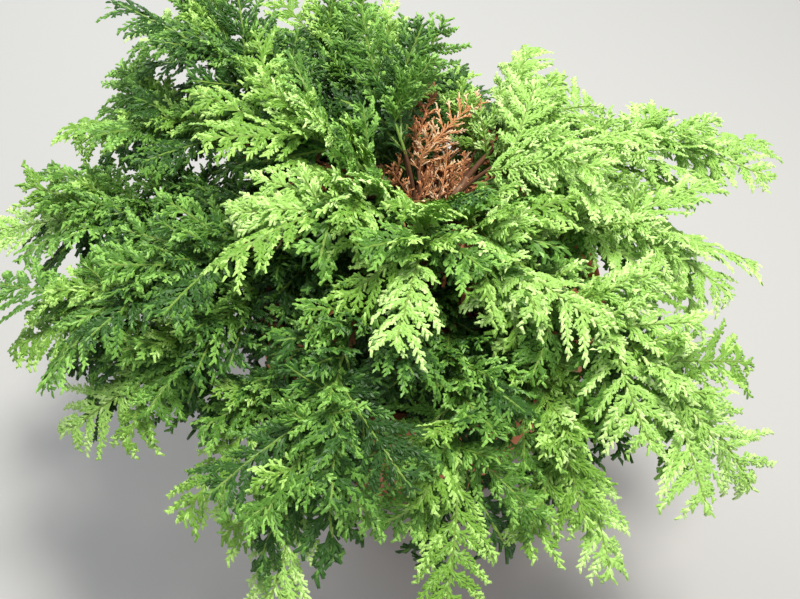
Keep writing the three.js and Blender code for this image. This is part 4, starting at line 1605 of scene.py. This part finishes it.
class ConiferFoliage(bpy.types.PropertyGroup):
    """Sizes of the sprays and of their scale leaves, and the plain tints that are dealt out by spray"""

    spray_length: length_property("Spray length", "From a spray's foot to its tip", 62 * MM)
    spray_half_width: length_property("Spray half width", "From a spray's rib to its side", 23 * MM)
    spray_nod: length_property("Nod", "How far a spray's tip hangs below its foot's line", 6 * MM)
    station_spacing: length_property("Spray spacing", "Between sprays along a stem", 2.66 * MM)
    shoot_spacing: length_property("Shoot spacing", "Between side shoots along a spray's rib", 4.4 * MM)
    leaf_width: length_property("Leaf width", "Width of a scale leaf", 1.8 * MM)
    leaf_thickness: length_property("Leaf thickness", "Thickness of a scale leaf", 1.1 * MM)
    # From pale to bluish: partly the sprays' age, partly painted light and shade; the tips partly painted
    # highlight
    pale_tip: tint_property("Pale tips", "Tips of the newest sprays", 196, 228, 142)
    pale: tint_property("Pale", "Leaves of the newest sprays", 156, 198, 98)
    fresh_tip: tint_property("Fresh tips", "Tips of new sprays", 172, 212, 110)
    fresh: tint_property("Fresh", "Leaves of new sprays", 118, 162, 60)
    mid_tip: tint_property("Middle tips", "Tips of grown sprays", 132, 180, 80)
    mid: tint_property("Middle", "Leaves of grown sprays", 82, 126, 42)
    deep_tip: tint_property("Deep tips", "Tips of old sprays", 96, 142, 54)
    deep: tint_property("Deep", "Leaves of old sprays", 50, 90, 28)
    bluish_tip: tint_property("Bluish tips", "Tips of shaded sprays", 84, 128, 52)
    bluish: tint_property("Bluish", "Leaves of shaded sprays", 44, 80, 28)
    shoot: tint_property("Shoots", "Ribs and young stems", 120, 150, 64)
    straw: tint_property("Straw", "Tips of the driest sprays", 232, 200, 162)
    dead_pale: tint_property("Pale dead", "Tips of dead sprays", 206, 146, 98)
    dead: tint_property("Dead", "Leaves of dead sprays", 146, 92, 58)
    twig: tint_property("Twigs", "Old bare twigs", 100, 66, 44)


class ConiferStage(bpy.types.PropertyGroup):
    """The floor and the light"""

    floor_size: length_property("Floor size", "Side of the square floor", 6.0)
    floor_colour: bpy.props.FloatVectorProperty(
        name="Floor colour", description="Plain pale colour of the floor",
        default=(0.48, 0.475, 0.46), subtype="COLOR")
    sky_strength: bpy.props.FloatProperty(
        name="Sky strength", description="Strength of the even light from all round", default=0.46)
    key_power: bpy.props.FloatProperty(
        name="Key power", description="Power of the main light, in watts", default=19.0)


class CONIFER_PT_panel(bpy.types.Panel):
    """The conifer's sizes and its makers, in the 3D view's sidebar"""

    bl_idname = "CONIFER_PT_panel"
    bl_label = "Potted Conifer"
    bl_space_type = "VIEW_3D"
    bl_region_type = "UI"
    bl_category = "Conifer"

    def draw(self, context):
        for key in GROUPS:
            box = self.layout.box()
            group = getattr(context.scene, key)
            for name in group.bl_rna.properties.keys():
                if name not in ("rna_type", "name"):
                    box.prop(group, name)
        for operator in OPERATORS:
            self.layout.operator(operator.bl_idname)


OPERATORS = (
    CONIFER_OT_set_stage,
    CONIFER_OT_make_pot,
    CONIFER_OT_make_mix,
    CONIFER_OT_make_wood,
    CONIFER_OT_grow_foliage,
)
GROUPS = {
    "conifer_pot": ConiferPot,
    "conifer_mix": ConiferMix,
    "conifer_wood": ConiferWood,
    "conifer_foliage": ConiferFoliage,
    "conifer_stage": ConiferStage,
}
CLASSES = (*GROUPS.values(), *OPERATORS, CONIFER_PT_panel)


def register():
    for each in CLASSES:
        bpy.utils.register_class(each)
    for key, group in GROUPS.items():
        setattr(bpy.types.Scene, key, bpy.props.PointerProperty(type=group))


def unregister():
    for key in GROUPS:
        delattr(bpy.types.Scene, key)
    for each in reversed(CLASSES):
        bpy.utils.unregister_class(each)


def main():
    """Makes every piece in turn."""
    register()
    bpy.ops.conifer.set_stage()
    bpy.ops.conifer.make_pot()
    bpy.ops.conifer.make_mix()
    bpy.ops.conifer.make_wood()
    bpy.ops.conifer.grow_foliage()


if __name__ == "__main__":
    main()
